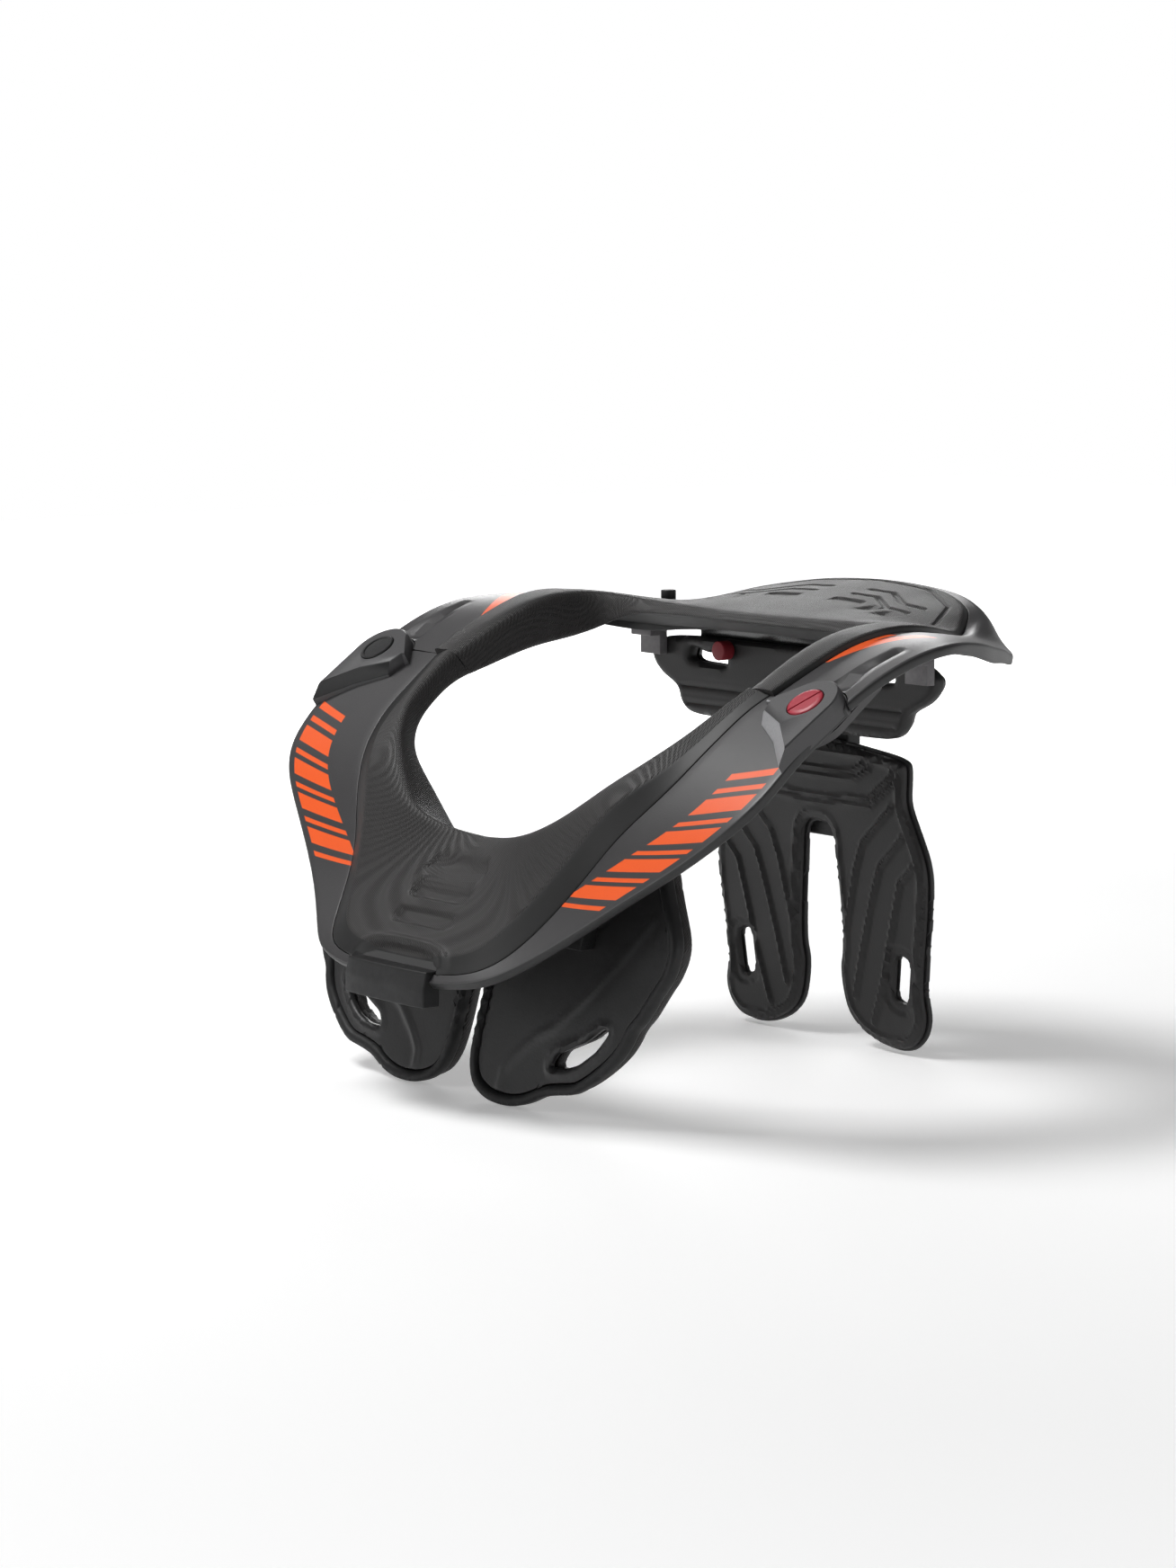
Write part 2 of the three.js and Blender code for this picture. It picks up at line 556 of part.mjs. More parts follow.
const covers = {};
const caps = {};
const sides = { left: 1, right: -1 };
for (const sign of Object.values(sides)) {
  const lugRoom = hingeRadius + lugMargin;
  frontShell = frontShell.subtract(behindSeam(sign)).subtract(hingeBar(sign, lugRoom, -far, -hingeFloor));
  frontPad = frontPad.subtract(behindSeam(sign));
  rearShell = rearShell.subtract(beforeSeam(sign));
  rearPad = rearPad.subtract(beforeSeam(sign));
  const lugTop = -hingeFloor - gap;
  const lugLow = lugTop - lugWall;
  const lug = hingeBar(sign, lugRadius, lugLow, lugTop)
    .add(hingeBox(sign, v3(-lugHalfWidth, 0, lugLow), v3(lugHalfWidth, lugBack, lugTop)))
    .add(hingeBox(sign, v3(-lugHalfWidth, lugRoom, lugLow), v3(lugHalfWidth, lugBack, lugTop + lugStep)));
  rearShell = rearShell.add(lug);
  frontShell = frontShell.subtract(hingeBar(sign, pinRadius + pinClearance, -far, far, 24));
}
const shellHull = room(frontShell, hingeDirection, -far / 4);
for (const [side, sign] of Object.entries(sides)) {
  const cornerX = sign * (hingeInset - coverMargin);
  const inX = -sign * coverInset;
  const shape = new THREE.Shape();
  const r = hingeRadius - 0.4;
  const [arcStart, arcEnd] = sign > 0 ? [0, 3 / 4] : [1, 1 / 4];
  shape.moveTo(sign * r, 0);
  shape.absarc(0, 0, r, Math.PI * arcStart, Math.PI * arcEnd, sign < 0);
  shape.lineTo(inX, -2);
  shape.lineTo(inX * coverWaist[0], -coverReach * coverWaist[1]);
  shape.lineTo(cornerX, -coverReach * coverCorner);
  const body = new THREE.ExtrudeGeometry(
    shape, { depth: coverHeight + coverSeat, bevelEnabled: false, curveSegments: 16 });
  body.translate(0, 0, -coverSeat);
  const block = solid(body, hingeMatrix(sign));
  const recess = hingeBar(sign, buttonRadius + gap, -far, far, 32);
  covers[side] = highest(block.subtract(shellHull).subtract(recess));
}
const buttonTop = coverHeight + buttonProud;
const pressRoom = buttonTop - buttonDepth - buttonStroke;
caps.left = hingeBar(1, buttonRadius, buttonTop - buttonDepth, buttonTop)
  .add(hingeBar(1, pinRadius, -hingeFloor + buttonStroke + gap, buttonTop - buttonDepth + 0.1, 20));
caps.right = hingeBar(-1, buttonRadius, pressRoom + 1, coverHeight)
  .add(hingeBar(-1, pinRadius, -hingeFloor - gap - lugWall, pressRoom + 1.1, 20));
rearShell = rearShell.subtract(hingeBar(-1, pinRadius + pinClearance, -far, far, 24));

// Chest leaves
const leafPlace = (front, depth) => (p, side) => (
  v3(p.x, leafToe + leafLean * p.y + front + side * depth, p.y));
const leaves = {};
for (const [side, sign] of Object.entries(sides)) {
  const outline = outlinePoints(leafOutline, leafWidth, leafHeight, sign);
  const slot = outlinePoints(leafSlot, leafWidth, leafHeight, sign);
  const inner = inset(outline, leafRimWidth);
  const rimFront = -leafRimDepth / 2;
  const plateOutline = inset(outline, leafRimWidth + gap);
  const plate = sheet(plateOutline, [clockwise(slot)], leafPlace(-leafWall / 2, leafWall));
  const rim = sheet(edgeBand(outline, inner, sign), [], leafPlace(rimFront, leafRimDepth));
  const padFront = leafRimDepth / 2 + gap;
  const pad = sheet(inset(outline, leafPadInset), [clockwise(slot)], leafPlace(padFront, leafPadDepth));
  leaves[side] = { plate, rim, pad };
}

// Bracket between each leaf and the front shell
const bracketLow = 63;
const bracketNear = 44;
const bracketFar = 66;
const bracketTall = 36;
const bracketWall = 7;
const leafBrackets = {};
const frontBoth = frontShell.add(frontPad);
const shellAbove = room(frontBoth, up, reachAbove);
for (const [side, sign] of Object.entries(sides)) {
  const x = [sign * bracketNear, sign * bracketFar];
  const bracketHigh = bracketLow + bracketTall;
  const corners = [
    new THREE.Vector2(Math.min(...x), bracketLow),
    new THREE.Vector2(Math.max(...x), bracketLow),
    new THREE.Vector2(Math.max(...x), bracketHigh),
    new THREE.Vector2(Math.min(...x), bracketHigh),
  ];
  const front = -leafWall / 2 - gap - bracketWall;
  leafBrackets[side] = lowest(sheet(corners, [], leafPlace(front, bracketWall)).subtract(shellAbove));
}

// Back strut
const uprightPlace = (face, wall, lean = 0) => (p, side) => v3(p.x, face + lean * p.y + side * wall, p.y);
function wholeOutline(shares, width, height, base = 0) {
  const right = shares.map(([x, z]) => new THREE.Vector2(x * width, base + z * height));
  const left = right.filter((p) => p.x > 0).map((p) => new THREE.Vector2(-p.x, p.y)).reverse();
  const points = [...right, ...left];
  return THREE.ShapeUtils.isClockWise(points) ? points.reverse() : points;
}
function bothSlots(shares, width, height, base = 0) {
  return [1, -1].map((sign) => clockwise(
    shares.map(([x, z]) => new THREE.Vector2(sign * x * width, base + z * height))));
}
const strutSlots = bothSlots(strutSlot, strutHalfWidth, strutHeight);
const strutShape = wholeOutline(strutOutline, strutHalfWidth, strutHeight);
const strutPad = sheet(
  inset(strutShape, strutPadInset), strutSlots, uprightPlace(strutFace, strutPadWall, strutLean));
const strutPlateFace = strutFace + strutPadWall + gap;
const strutPlate = sheet(strutShape, strutSlots, uprightPlace(strutPlateFace, strutPlateWall, strutLean));

// Saddle
const saddleSlots = bothSlots(saddleSlot, saddleHalfWidth, saddleHeight, saddleBottom);
const saddleShape = wholeOutline(saddleOutline, saddleHalfWidth, saddleHeight, saddleBottom);
const saddlePad = sheet(saddleShape, saddleSlots, uprightPlace(saddleFace, saddlePadWall));
const saddlePlateFace = saddleFace + saddlePadWall + gap;
const saddlePlate = sheet(
  inset(saddleShape, saddlePlateInset), saddleSlots, uprightPlace(saddlePlateFace, saddlePlateWall));

// Post behind the saddle and the strut
const spineFace = saddlePlateFace + saddlePlateWall + gap;
const spineLowFace = strutPlateFace + strutPlateWall + strutLean * spineBottom + gap;
const spineBack = spineLowFace + spineWall;
const spineTop = hingeHeight + rearRise;
const spineShape = new THREE.Shape([
  new THREE.Vector2(spineLowFace, spineBottom),
  new THREE.Vector2(spineBack, spineBottom),
  new THREE.Vector2(spineBack, spineTop),
  new THREE.Vector2(spineFace, spineTop),
  new THREE.Vector2(spineFace, strutHeight + spineStepTop),
  new THREE.Vector2(spineLowFace, strutHeight + spineStepLow),
]);
const spineBlock = new THREE.ExtrudeGeometry(spineShape, { depth: 2 * spineHalfWidth, bevelEnabled: false });
const spineTurn = new THREE.Matrix4().makeBasis(v3(0, 1, 0), v3(0, 0, 1), v3(1, 0, 0));
const rearBoth = rearShell.add(rearPad);
const rearAbove = room(rearBoth, up, reachAbove);
const spine = lowest(solid(spineBlock, spineTurn.setPosition(-spineHalfWidth, 0, 0)).subtract(rearAbove));

// Grey brackets from the rear shell down to the saddle's wings, and red adjusters on its foam
const wingBracketX = [76, 89];
const wingBracketY = [95.5, saddleFace - gap];
const wingBracketZ = [155, 163, 170];
const wingBracketWall = 4;
function boxBetween(low, high) {
  const box = new THREE.BoxGeometry(high.x - low.x, high.y - low.y, high.z - low.z);
  return solid(box.translate((high.x + low.x) / 2, (high.y + low.y) / 2, (high.z + low.z) / 2));
}
const wingBracketBlock = boxBetween(
  v3(wingBracketX[0], wingBracketY[0], wingBracketZ[1]),
  v3(wingBracketX[1], wingBracketY[1], wingBracketZ[2]),
).add(boxBetween(
  v3(wingBracketX[0], wingBracketY[1] - wingBracketWall, wingBracketZ[0]),
  v3(wingBracketX[1], wingBracketY[1], wingBracketZ[1] + 1),
));
const wingBrackets = {
  left: lowest(wingBracketBlock.subtract(rearAbove)),
  right: lowest(mirrorSolid(wingBracketBlock).subtract(rearAbove)),
};
const adjusterTurn = new THREE.Matrix4().makeBasis(v3(1, 0, 0), v3(0, 0, 1), v3(0, -1, 0));
const adjusterZ = saddleBottom + saddleHeight * adjusterLevel;
adjusterTurn.setPosition(adjusterHalfSpacing, saddleFace - gap - adjusterLength / 2, adjusterZ);
const adjusterForm = new THREE.CylinderGeometry(adjusterRadius, adjusterRadius, adjusterLength, 24);
const adjuster = solid(adjusterForm.rotateX(Math.PI / 2), adjusterTurn);

// Peg on the right of the rear table
const pegPlace = [-80, 108.5];
const pegLength = 4 * pegHeight; // before the table's room is cut off it
const pegTop = hingeHeight + rearRise * pegRest + pegHeight;
const pegForm = new THREE.CylinderGeometry(pegRadius, pegRadius, pegLength, 24).rotateX(Math.PI / 2);
const rearBelow = room(rearBoth, up, -reachBelow);
pegForm.translate(pegPlace[0], pegPlace[1], pegTop - pegLength / 2);
const peg = highest(solid(pegForm).subtract(rearBelow));

const brace = new THREE.Group();
const frontHalf = new THREE.Group();
const rearHalf = new THREE.Group();
brace.add(frontHalf, rearHalf);
brace.position.y = -(tabFace + rearReach) / 2;

frontHalf.add(toMesh('front_shell', frontShell, materials.shell));
frontHalf.add(toMesh('front_pad', frontPad, materials.foam));
frontHalf.add(toMesh('front_tab', frontTab, materials.rubber));
rearHalf.add(toMesh('rear_shell', rearShell, materials.shell));
rearHalf.add(toMesh('rear_pad', rearPad, materials.foam));
for (const [side, sign] of Object.entries(sides)) {
  frontHalf.add(toMesh(`hinge_cover_${side}`, covers[side], materials.cover));
  frontHalf.add(toMesh(`chest_plate_${side}`, leaves[side].plate, materials.plate));
  frontHalf.add(toMesh(`chest_rim_${side}`, leaves[side].rim, materials.rubber));
  frontHalf.add(toMesh(`chest_pad_${side}`, leaves[side].pad, materials.foam));
  frontHalf.add(toMesh(`leaf_bracket_${side}`, leafBrackets[side], materials.rubber));
  const pin = sign > 0 ? adjuster : mirrorSolid(adjuster);
  rearHalf.add(toMesh(`wing_bracket_${side}`, wingBrackets[side], materials.grey));
  rearHalf.add(toMesh(`adjuster_${side}`, pin, materials.red));
}
frontHalf.add(toMesh('release_button', caps.left, materials.red));
rearHalf.add(toMesh('hinge_pin', caps.right, materials.rubber));
rearHalf.add(toMesh('saddle_pad', saddlePad, materials.foam));
rearHalf.add(toMesh('saddle_plate', saddlePlate, materials.plate));
rearHalf.add(toMesh('strut_pad', strutPad, materials.foam));
rearHalf.add(toMesh('strut_plate', strutPlate, materials.plate));
rearHalf.add(toMesh('spine_post', spine, materials.rubber));
rearHalf.add(toMesh('table_peg', peg, materials.rubber));

export default brace;
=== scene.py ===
import json
import math

import bmesh
import bpy
import numpy as np
from mathutils import Matrix, Vector
from mathutils.geometry import delaunay_2d_cdt

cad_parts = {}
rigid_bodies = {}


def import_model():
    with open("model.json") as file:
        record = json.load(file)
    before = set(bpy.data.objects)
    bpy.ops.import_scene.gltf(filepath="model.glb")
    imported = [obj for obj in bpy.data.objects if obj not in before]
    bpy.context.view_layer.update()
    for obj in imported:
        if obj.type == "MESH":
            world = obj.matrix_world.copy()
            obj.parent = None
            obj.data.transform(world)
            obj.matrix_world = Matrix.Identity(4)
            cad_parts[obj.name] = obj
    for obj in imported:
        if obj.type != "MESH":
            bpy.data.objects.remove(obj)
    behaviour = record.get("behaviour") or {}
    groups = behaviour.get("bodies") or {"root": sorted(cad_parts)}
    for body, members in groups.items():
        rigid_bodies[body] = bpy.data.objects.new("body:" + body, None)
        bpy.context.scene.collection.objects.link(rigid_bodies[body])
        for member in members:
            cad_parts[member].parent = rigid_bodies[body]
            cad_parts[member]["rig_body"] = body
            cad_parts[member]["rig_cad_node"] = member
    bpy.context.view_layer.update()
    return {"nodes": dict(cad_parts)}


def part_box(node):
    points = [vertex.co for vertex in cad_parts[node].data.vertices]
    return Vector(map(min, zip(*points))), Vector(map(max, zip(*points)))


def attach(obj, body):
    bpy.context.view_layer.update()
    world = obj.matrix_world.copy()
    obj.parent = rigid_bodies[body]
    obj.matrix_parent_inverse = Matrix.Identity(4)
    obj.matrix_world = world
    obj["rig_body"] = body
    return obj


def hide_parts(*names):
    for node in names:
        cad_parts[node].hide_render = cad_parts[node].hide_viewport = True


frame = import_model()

# The photograph's view of the brace: a long lens at the wearer's front left, a little above it,
# in a pale studio with a broad lamp overhead, one behind, one at the side and a fill in front.
view_azimuth = math.radians(51.66)
view_elevation = math.radians(7.21)
view_from = (1.3553, -1.1072, 0.3340)
sensor = 36
focal_length = 101.5
toward = Vector((
    math.sin(view_azimuth) * math.cos(view_elevation),
    -math.cos(view_azimuth) * math.cos(view_elevation),
    math.sin(view_elevation),
))
sideways = Vector((math.cos(view_azimuth), math.sin(view_azimuth), 0))
lens = bpy.data.cameras.new("camera")
lens.sensor_width = sensor
lens.lens = focal_length
camera = bpy.data.objects.new("camera", lens)
bpy.context.scene.collection.objects.link(camera)
turn = Matrix((sideways, toward.cross(sideways), toward)).transposed().to_4x4()
camera.matrix_world = Matrix.Translation(view_from) @ turn
bpy.context.scene.camera = camera


def lamp(name, place, aim, size, watts):
    light = bpy.data.lights.new(name, "AREA")
    light.shape = "RECTANGLE"
    light.size, light.size_y = size
    light.energy = watts
    holder = bpy.data.objects.new(name, light)
    bpy.context.scene.collection.objects.link(holder)
    facing = (Vector(aim) - Vector(place)).to_track_quat("-Z", "Y")
    holder.matrix_world = Matrix.Translation(place) @ facing.to_matrix().to_4x4()


lamp("overhead lamp", (-0.7, -0.5, 1.6), (0, 0, 0.1), (0.9, 0.6), 24)
lamp("rear lamp", (-1.5, 1.2, 0.75), (0, 0, 0.12), (0.7, 0.5), 8)
lamp("side lamp", (1.9, 0.7, 0.7), (0, 0, 0.1), (0.3, 0.9), 5)
lamp("front fill", (-0.6, -2.0, 0.9), (0, 0, 0.08), (0.8, 0.8), 8)
horizon_light = 1.0
sky_light = 0.10
fade_start, fade_end = 0.10, 0.16  # the sky darkens between these heights of a direction
floor_size, floor_drop = 6, 0.0005  # metres
floor_glow = 0.26
floor_near, floor_far = 480.0, 1300.0  # the floor fades to white between these distances, in mm
map_scale = 100  # millimetres along an arm for one unit of a piece's own map
world = bpy.data.worlds.new("studio")
world.use_nodes = True
sky = world.node_tree.nodes
sky["Background"].inputs["Color"].default_value = (1, 1, 1, 1)
links = world.node_tree.links
direction = sky.new("ShaderNodeTexCoord")
split = sky.new("ShaderNodeSeparateXYZ")
fade = sky.new("ShaderNodeMapRange")
fade.inputs["From Min"].default_value = fade_start
fade.inputs["From Max"].default_value = fade_end
fade.inputs["To Min"].default_value = horizon_light
fade.inputs["To Max"].default_value = sky_light
links.new(direction.outputs["Generated"], split.inputs[0])
links.new(split.outputs["Z"], fade.inputs["Value"])
links.new(fade.outputs["Result"], sky["Background"].inputs["Strength"])
bpy.context.scene.world = world
bpy.context.scene.view_settings.view_transform = "Standard"


class Value:
    """A value inside a finish: working with it adds Math nodes."""

    def __init__(self, finish, socket):
        self.finish = finish
        self.socket = socket

    def math(self, operation, *others):
        return self.finish.node("Math", {"operation": operation}, [self, *others])

    def __add__(self, other):
        return self.math("ADD", other)

    def __sub__(self, other):
        return self.math("SUBTRACT", other)

    def __rsub__(self, other):
        return self.finish.node("Math", {"operation": "SUBTRACT"}, [other, self])

    def __mul__(self, other):
        return self.math("MULTIPLY", other)

    def __lt__(self, other):
        return self.math("LESS_THAN", other)

    __radd__ = __add__


class Finish:
    """A material whose nodes are added one call at a time."""

    def __init__(self, name, colour, roughness, metallic=0.0, coat=0.0, gloss=0.3):
        self.material = bpy.data.materials.new(name)
        self.material.use_nodes = True
        self.tree = self.material.node_tree
        self.shader = self.tree.nodes["Principled BSDF"].inputs
        self.shader["Base Color"].default_value = (*colour, 1)
        self.shader["Roughness"].default_value = roughness
        self.shader["Metallic"].default_value = metallic
        self.shader["Coat Weight"].default_value = coat
        self.shader["Specular IOR Level"].default_value = gloss
        self.shader["Coat Roughness"].default_value = 0.25

    def feed(self, socket, value):
        if isinstance(value, Value):
            self.tree.links.new(value.socket, socket)
        elif socket.type == "RGBA" and len(value) == 3:
            socket.default_value = (*value, 1)
        else:
            socket.default_value = value

    def colour(self, value):
        self.feed(self.shader["Base Color"], value)

    def roughness(self, value):
        self.feed(self.shader["Roughness"], value)

    def node(self, kind, settings, inputs, output=0):
        node = self.tree.nodes.new("ShaderNode" + kind)
        for key, value in settings.items():
            setattr(node, key, value)
        pairs = inputs.items() if isinstance(inputs, dict) else enumerate(inputs)
        for key, value in pairs:
            self.feed(node.inputs[key], value)
        return Value(self, node.outputs[output])

    def place(self, source="Object"):
        """The three coordinates of a point, in millimetres, or of the piece's own map."""
        where = self.node("TexCoord", {}, [], source)
        scale = 1000 if source == "Object" else map_scale
        return [self.node("SeparateXYZ", {}, [where], axis) * scale for axis in range(3)]

    def noise(self, size, detail=3):
        """Even speckle from 0 to 1 with blotches of a size in millimetres."""
        where = self.node("TexCoord", {}, [], "Object")
        return self.node("TexNoise", {}, {"Vector": where, "Scale": 1000 / size, "Detail": detail})

    def mix(self, share, first, second):
        return self.node("Mix", {"data_type": "RGBA"}, {0: share, 6: first, 7: second}, 2)

    def step(self, value, low, high):
        settings = {"interpolation_type": "SMOOTHSTEP"}
        return self.node("MapRange", settings, {"Value": value, "From Min": low, "From Max": high})

    def bump(self, height, depth):
        """Height from 0 to 1 raised by a depth in millimetres."""
        inputs = {"Strength": 1.0, "Distance": depth / 1000, "Height": height}
        self.feed(self.shader["Normal"], self.node("Bump", {}, inputs))


floor_finish = Finish("pale floor", (0.9, 0.9, 0.9), 0.9)
floor_x, floor_y, _ = floor_finish.place()
away = floor_finish.step(floor_x * floor_x + floor_y * floor_y, floor_near**2, floor_far**2)
glow = floor_finish.mix(away, (floor_glow,) * 3, (1, 1, 1))
floor_finish.feed(floor_finish.shader["Emission Color"], glow)
floor_finish.shader["Emission Strength"].default_value = 1.0
bpy.ops.object.select_all(action="DESELECT")
bpy.ops.mesh.primitive_plane_add(size=floor_size, location=(0, 0, -floor_drop))
floor = bpy.context.object
floor.name = "floor"
floor.data.materials.append(floor_finish.material)


# Front half: a stiff moulded shell, dark grey with a satin skin and orange printed bars, that runs
# from hinge to hinge. It is lofted through measured sections and cut round at the hinges.
half_width = 148.5
front_reach = 98
rear_reach = 173.5
hinge_height = 155.4
front_drop = 105
rear_rise = 32.6
row_back = 37.35
shell_wall = 4.2
rear_wall = 4
pad_depth = 6.5
pad_seat = 1
pad_step = 2.4
crest_setback = 7
roll_back = 5
gap = 0.35
steps_per_row = 12
front_columns = ("inner", "crest", "edge", "foot", "rim")
front_rows = [
    ((0.605, -0.165, 0.03), (0.635, -0.165, -0.1), (0.685, -0.165, -0.095),
     (0.725, -0.165, -0.08), (0.995, -0.165, -0.095)),
    ((0.605, -0.04, 0.065), (0.63, -0.04, -0.05), (0.665, -0.03, -0.045),
     (0.695, -0.01, -0.01), (1, 0, 0.005)),
    ((0.58, 0.1, 0.14), (0.61, 0.11, 0.04), (0.645, 0.11, 0.055),
     (0.685, 0.12, 0.08), (1, 0.205, 0.135)),
    ((0.555, 0.21, 0.215), (0.59, 0.22, 0.11), (0.635, 0.215, 0.13),
     (0.68, 0.235, 0.16), (1, 0.315, 0.235)),
    ((0.49, 0.3, 0.305), (0.53, 0.335, 0.2), (0.615, 0.335, 0.21),
     (0.655, 0.365, 0.28), (0.975, 0.42, 0.33)),
    ((0.395, 0.33, 0.39), (0.45, 0.43, 0.29), (0.56, 0.45, 0.295),
     (0.605, 0.455, 0.38), (0.91, 0.5, 0.43)),
    ((0.305, 0.355, 0.48), (0.36, 0.5, 0.395), (0.505, 0.53, 0.39),
     (0.555, 0.525, 0.475), (0.815, 0.56, 0.535)),
    ((0.22, 0.395, 0.545), (0.27, 0.545, 0.465), (0.45, 0.605, 0.53),
     (0.495, 0.59, 0.61), (0.685, 0.645, 0.66)),
    ((0.155, 0.405, 0.615), (0.18, 0.535, 0.5), (0.385, 0.7, 0.685),
     (0.445, 0.68, 0.74), (0.56, 0.735, 0.79)),
    ((0.09, 0.4, 0.64), (0.1, 0.515, 0.52), (0.33, 0.82, 0.825),
     (0.385, 0.825, 0.895), (0.44, 0.85, 0.915)),
    ((0.04, 0.395, 0.655), (0.045, 0.505, 0.525), (0.25, 0.905, 0.915),
     (0.295, 0.945, 0.975), (0.33, 0.96, 1)),
    ((0, 0.395, 0.655), (0, 0.5, 0.53), (0, 0.91, 0.93),
     (0, 0.955, 0.99), (0, 0.99, 1.02)),
]


def smooth_line(points, steps):
    """A smooth line through a row of points, ending on the first and the last."""
    p = np.asarray(points, float)
    p = np.vstack([2 * p[0] - p[1], p, 2 * p[-1] - p[-2]])
    t = np.linspace(0, 1, steps, endpoint=False)[:, None]
    basis = [(1 - t) ** 3, 3 * t**3 - 6 * t**2 + 4, -3 * t**3 + 3 * t**2 + 3 * t + 1, t**3]
    runs = [sum(b * p[i + k] for k, b in enumerate(basis)) / 6 for i in range(len(p) - 3)]
    return np.vstack(runs + [p[-2:-1]])


def unit(vectors):
    return vectors / np.linalg.norm(vectors, axis=-1, keepdims=True)


def arm_lines(columns, rows, place):
    """Each named column of a table as a smooth line round both sides, with the arm's directions."""
    lines = {}
    for name, column in zip(columns, zip(*rows)):
        half = np.array([place(*spot) for spot in column])
        lines[name] = smooth_line(np.vstack([half, half[-2::-1] * (-1, 1, 1)]), steps_per_row)
    middle = (lines["rim"] + lines["crest"]) / 2
    normal = unit(np.cross(np.gradient(middle, axis=0), lines["rim"] - lines["crest"]))
    normal *= np.sign(normal[:, 2:])
    lines["up"] = normal
    lines["out"] = unit(lines["foot"] - lines["crest"])
    lines["edge_in"] = lines["crest"] - normal * pad_depth + lines["out"] * crest_setback
    printed_line = (lines["rim"] + lines["foot"]) / 2
    run = np.r_[0, np.cumsum(np.linalg.norm(np.diff(printed_line, axis=0), axis=1))]
    lines["along"] = np.abs(run - run[-1] / 2)
    return lines


def rounded(corners, radii, fills=None, turns=5):
    """Closed sections with their corners rounded, and where each side's fill points start."""
    count = corners.shape[1]
    starts, ends = [], []
    for k in range(count):
        here = corners[:, k]
        before = corners[:, k - 1] - here
        after = corners[:, (k + 1) % count] - here
        for arm, kept in ((before, starts), (after, ends)):
            length = np.linalg.norm(arm, axis=1, keepdims=True)
            kept.append(here + arm / length * np.minimum(radii[k], 0.45 * length))
    points, sides = [], {}
    for k in range(count):
        for t in np.linspace(0, 1, turns):
            points.append((1 - t) ** 2 * starts[k] + 2 * t * (1 - t) * corners[:, k] + t * t * ends[k])
        fill = (fills or {}).get(k, 0)
        sides[k] = len(points)
        for t in np.arange(1, fill + 1) / (fill + 1):
            points.append((1 - t) * ends[k] + t * starts[(k + 1) % count])
    return np.stack(points, axis=1), sides


def metres(points):
    return (np.asarray(points, float) - (0, row_back, 0)) / 1000


crease_angle = 38  # degrees: edges sharper than this stay sharp
off_face = -1  # place across the arm that marks a wall, clear of the printed face


def finished(mesh, name, finish, angle=crease_angle):
    """An object from a mesh, with its doubles merged, its faces out and its edges soft."""
    work = bmesh.new()
    work.from_mesh(mesh)
    bmesh.ops.remove_doubles(work, verts=work.verts, dist=1e-6)
    bmesh.ops.recalc_face_normals(work, faces=work.faces)
    work.to_mesh(mesh)
    work.free()
    piece = bpy.data.objects.new(name, mesh)
    bpy.context.scene.collection.objects.link(piece)
    mesh.materials.append(finish.material)
    only(piece)
    bpy.ops.object.shade_smooth_by_angle(angle=math.radians(angle))
    return piece


def only(piece):
    bpy.ops.object.select_all(action="DESELECT")
    piece.select_set(True)
    bpy.context.view_layer.objects.active = piece


def loft(name, sections, finish, across=None, along=None):
    """A closed body through sections, with a map of the place along and across the arm."""
    count, size = sections.shape[:2]
    index = np.arange(count * size).reshape(count, size)
    after = np.roll(index, -1, axis=1)
    quads = np.stack([index[:-1], after[:-1], after[1:], index[1:]], axis=-1).reshape(-1, 4)
    faces = quads.tolist() + [index[0, ::-1].tolist(), index[-1].tolist()]
    mesh = bpy.data.meshes.new(name)
    mesh.from_pydata(metres(sections.reshape(-1, 3)).tolist(), [], faces)
    if across is not None:
        layer = mesh.uv_layers.new(name="arm")
        spots = np.stack(np.broadcast_arrays(along[:, None], across), axis=-1).reshape(-1, 2) / map_scale
        corners = np.zeros(len(mesh.loops), int)
        mesh.loops.foreach_get("vertex_index", corners)
        layer.data.foreach_set("uv", spots[corners].ravel())
    return finished(mesh, name, finish)


hinge_tilt = math.radians(34)
hinge_half_spacing = 135
hinge_radius = 14.2
hinge_clearance = 0.5
seam_back = 7
far = 40


def hinge_points(sign, points):
    """Points of the hinge's own frame: across, back along the arm, and up the hinge axis."""
    across, back, rise = np.asarray(points, float).T
    y = back * math.cos(hinge_tilt) - rise * math.sin(hinge_tilt)
    z = back * math.sin(hinge_tilt) + rise * math.cos(hinge_tilt)
    return np.stack([sign * (hinge_half_spacing + across), y, hinge_height + z], axis=-1)


def arc(radius, start, stop, count=33, centre=(0, 0)):
    angles = np.radians(np.linspace(start, stop, count))
    return [(centre[0] + radius * math.cos(a), centre[1] + radius * math.sin(a)) for a in angles]


def hinge_prism(name, sign, rings, finish):
    """A body through rings of (outline, height) in a hinge's frame; across counts outboard."""
    sections = np.stack([
        hinge_points(sign, [(x, y, height) for x, y in outline]) for outline, height in rings])
    return loft(name, sections, finish)


def cut(piece, cutter):
    modifier = piece.modifiers.new("cut", "BOOLEAN")
    modifier.operation = "DIFFERENCE"
    modifier.solver = "EXACT"
    modifier.object = cutter
    only(piece)
    bpy.ops.object.modifier_apply(modifier=modifier.name)
    bpy.data.objects.remove(cutter)
    bpy.ops.object.shade_smooth_by_angle(angle=math.radians(crease_angle))


def seam_angle(radius, back):
    return math.degrees(math.asin(back / radius))


def cut_front_end(piece, sign):
    """Cuts a front arm behind its seam, and leaves its round end."""
    start = seam_angle(hinge_radius, seam_back)
    outline = [(-hinge_half_spacing, seam_back), *arc(hinge_radius, 180 - start, 0)]
    outline += [(far, 0), (far, 2 * far), (-hinge_half_spacing, 2 * far)]
    cut(piece, hinge_prism("cutter", sign, [(outline, -far), (outline, far)], shell_finish))


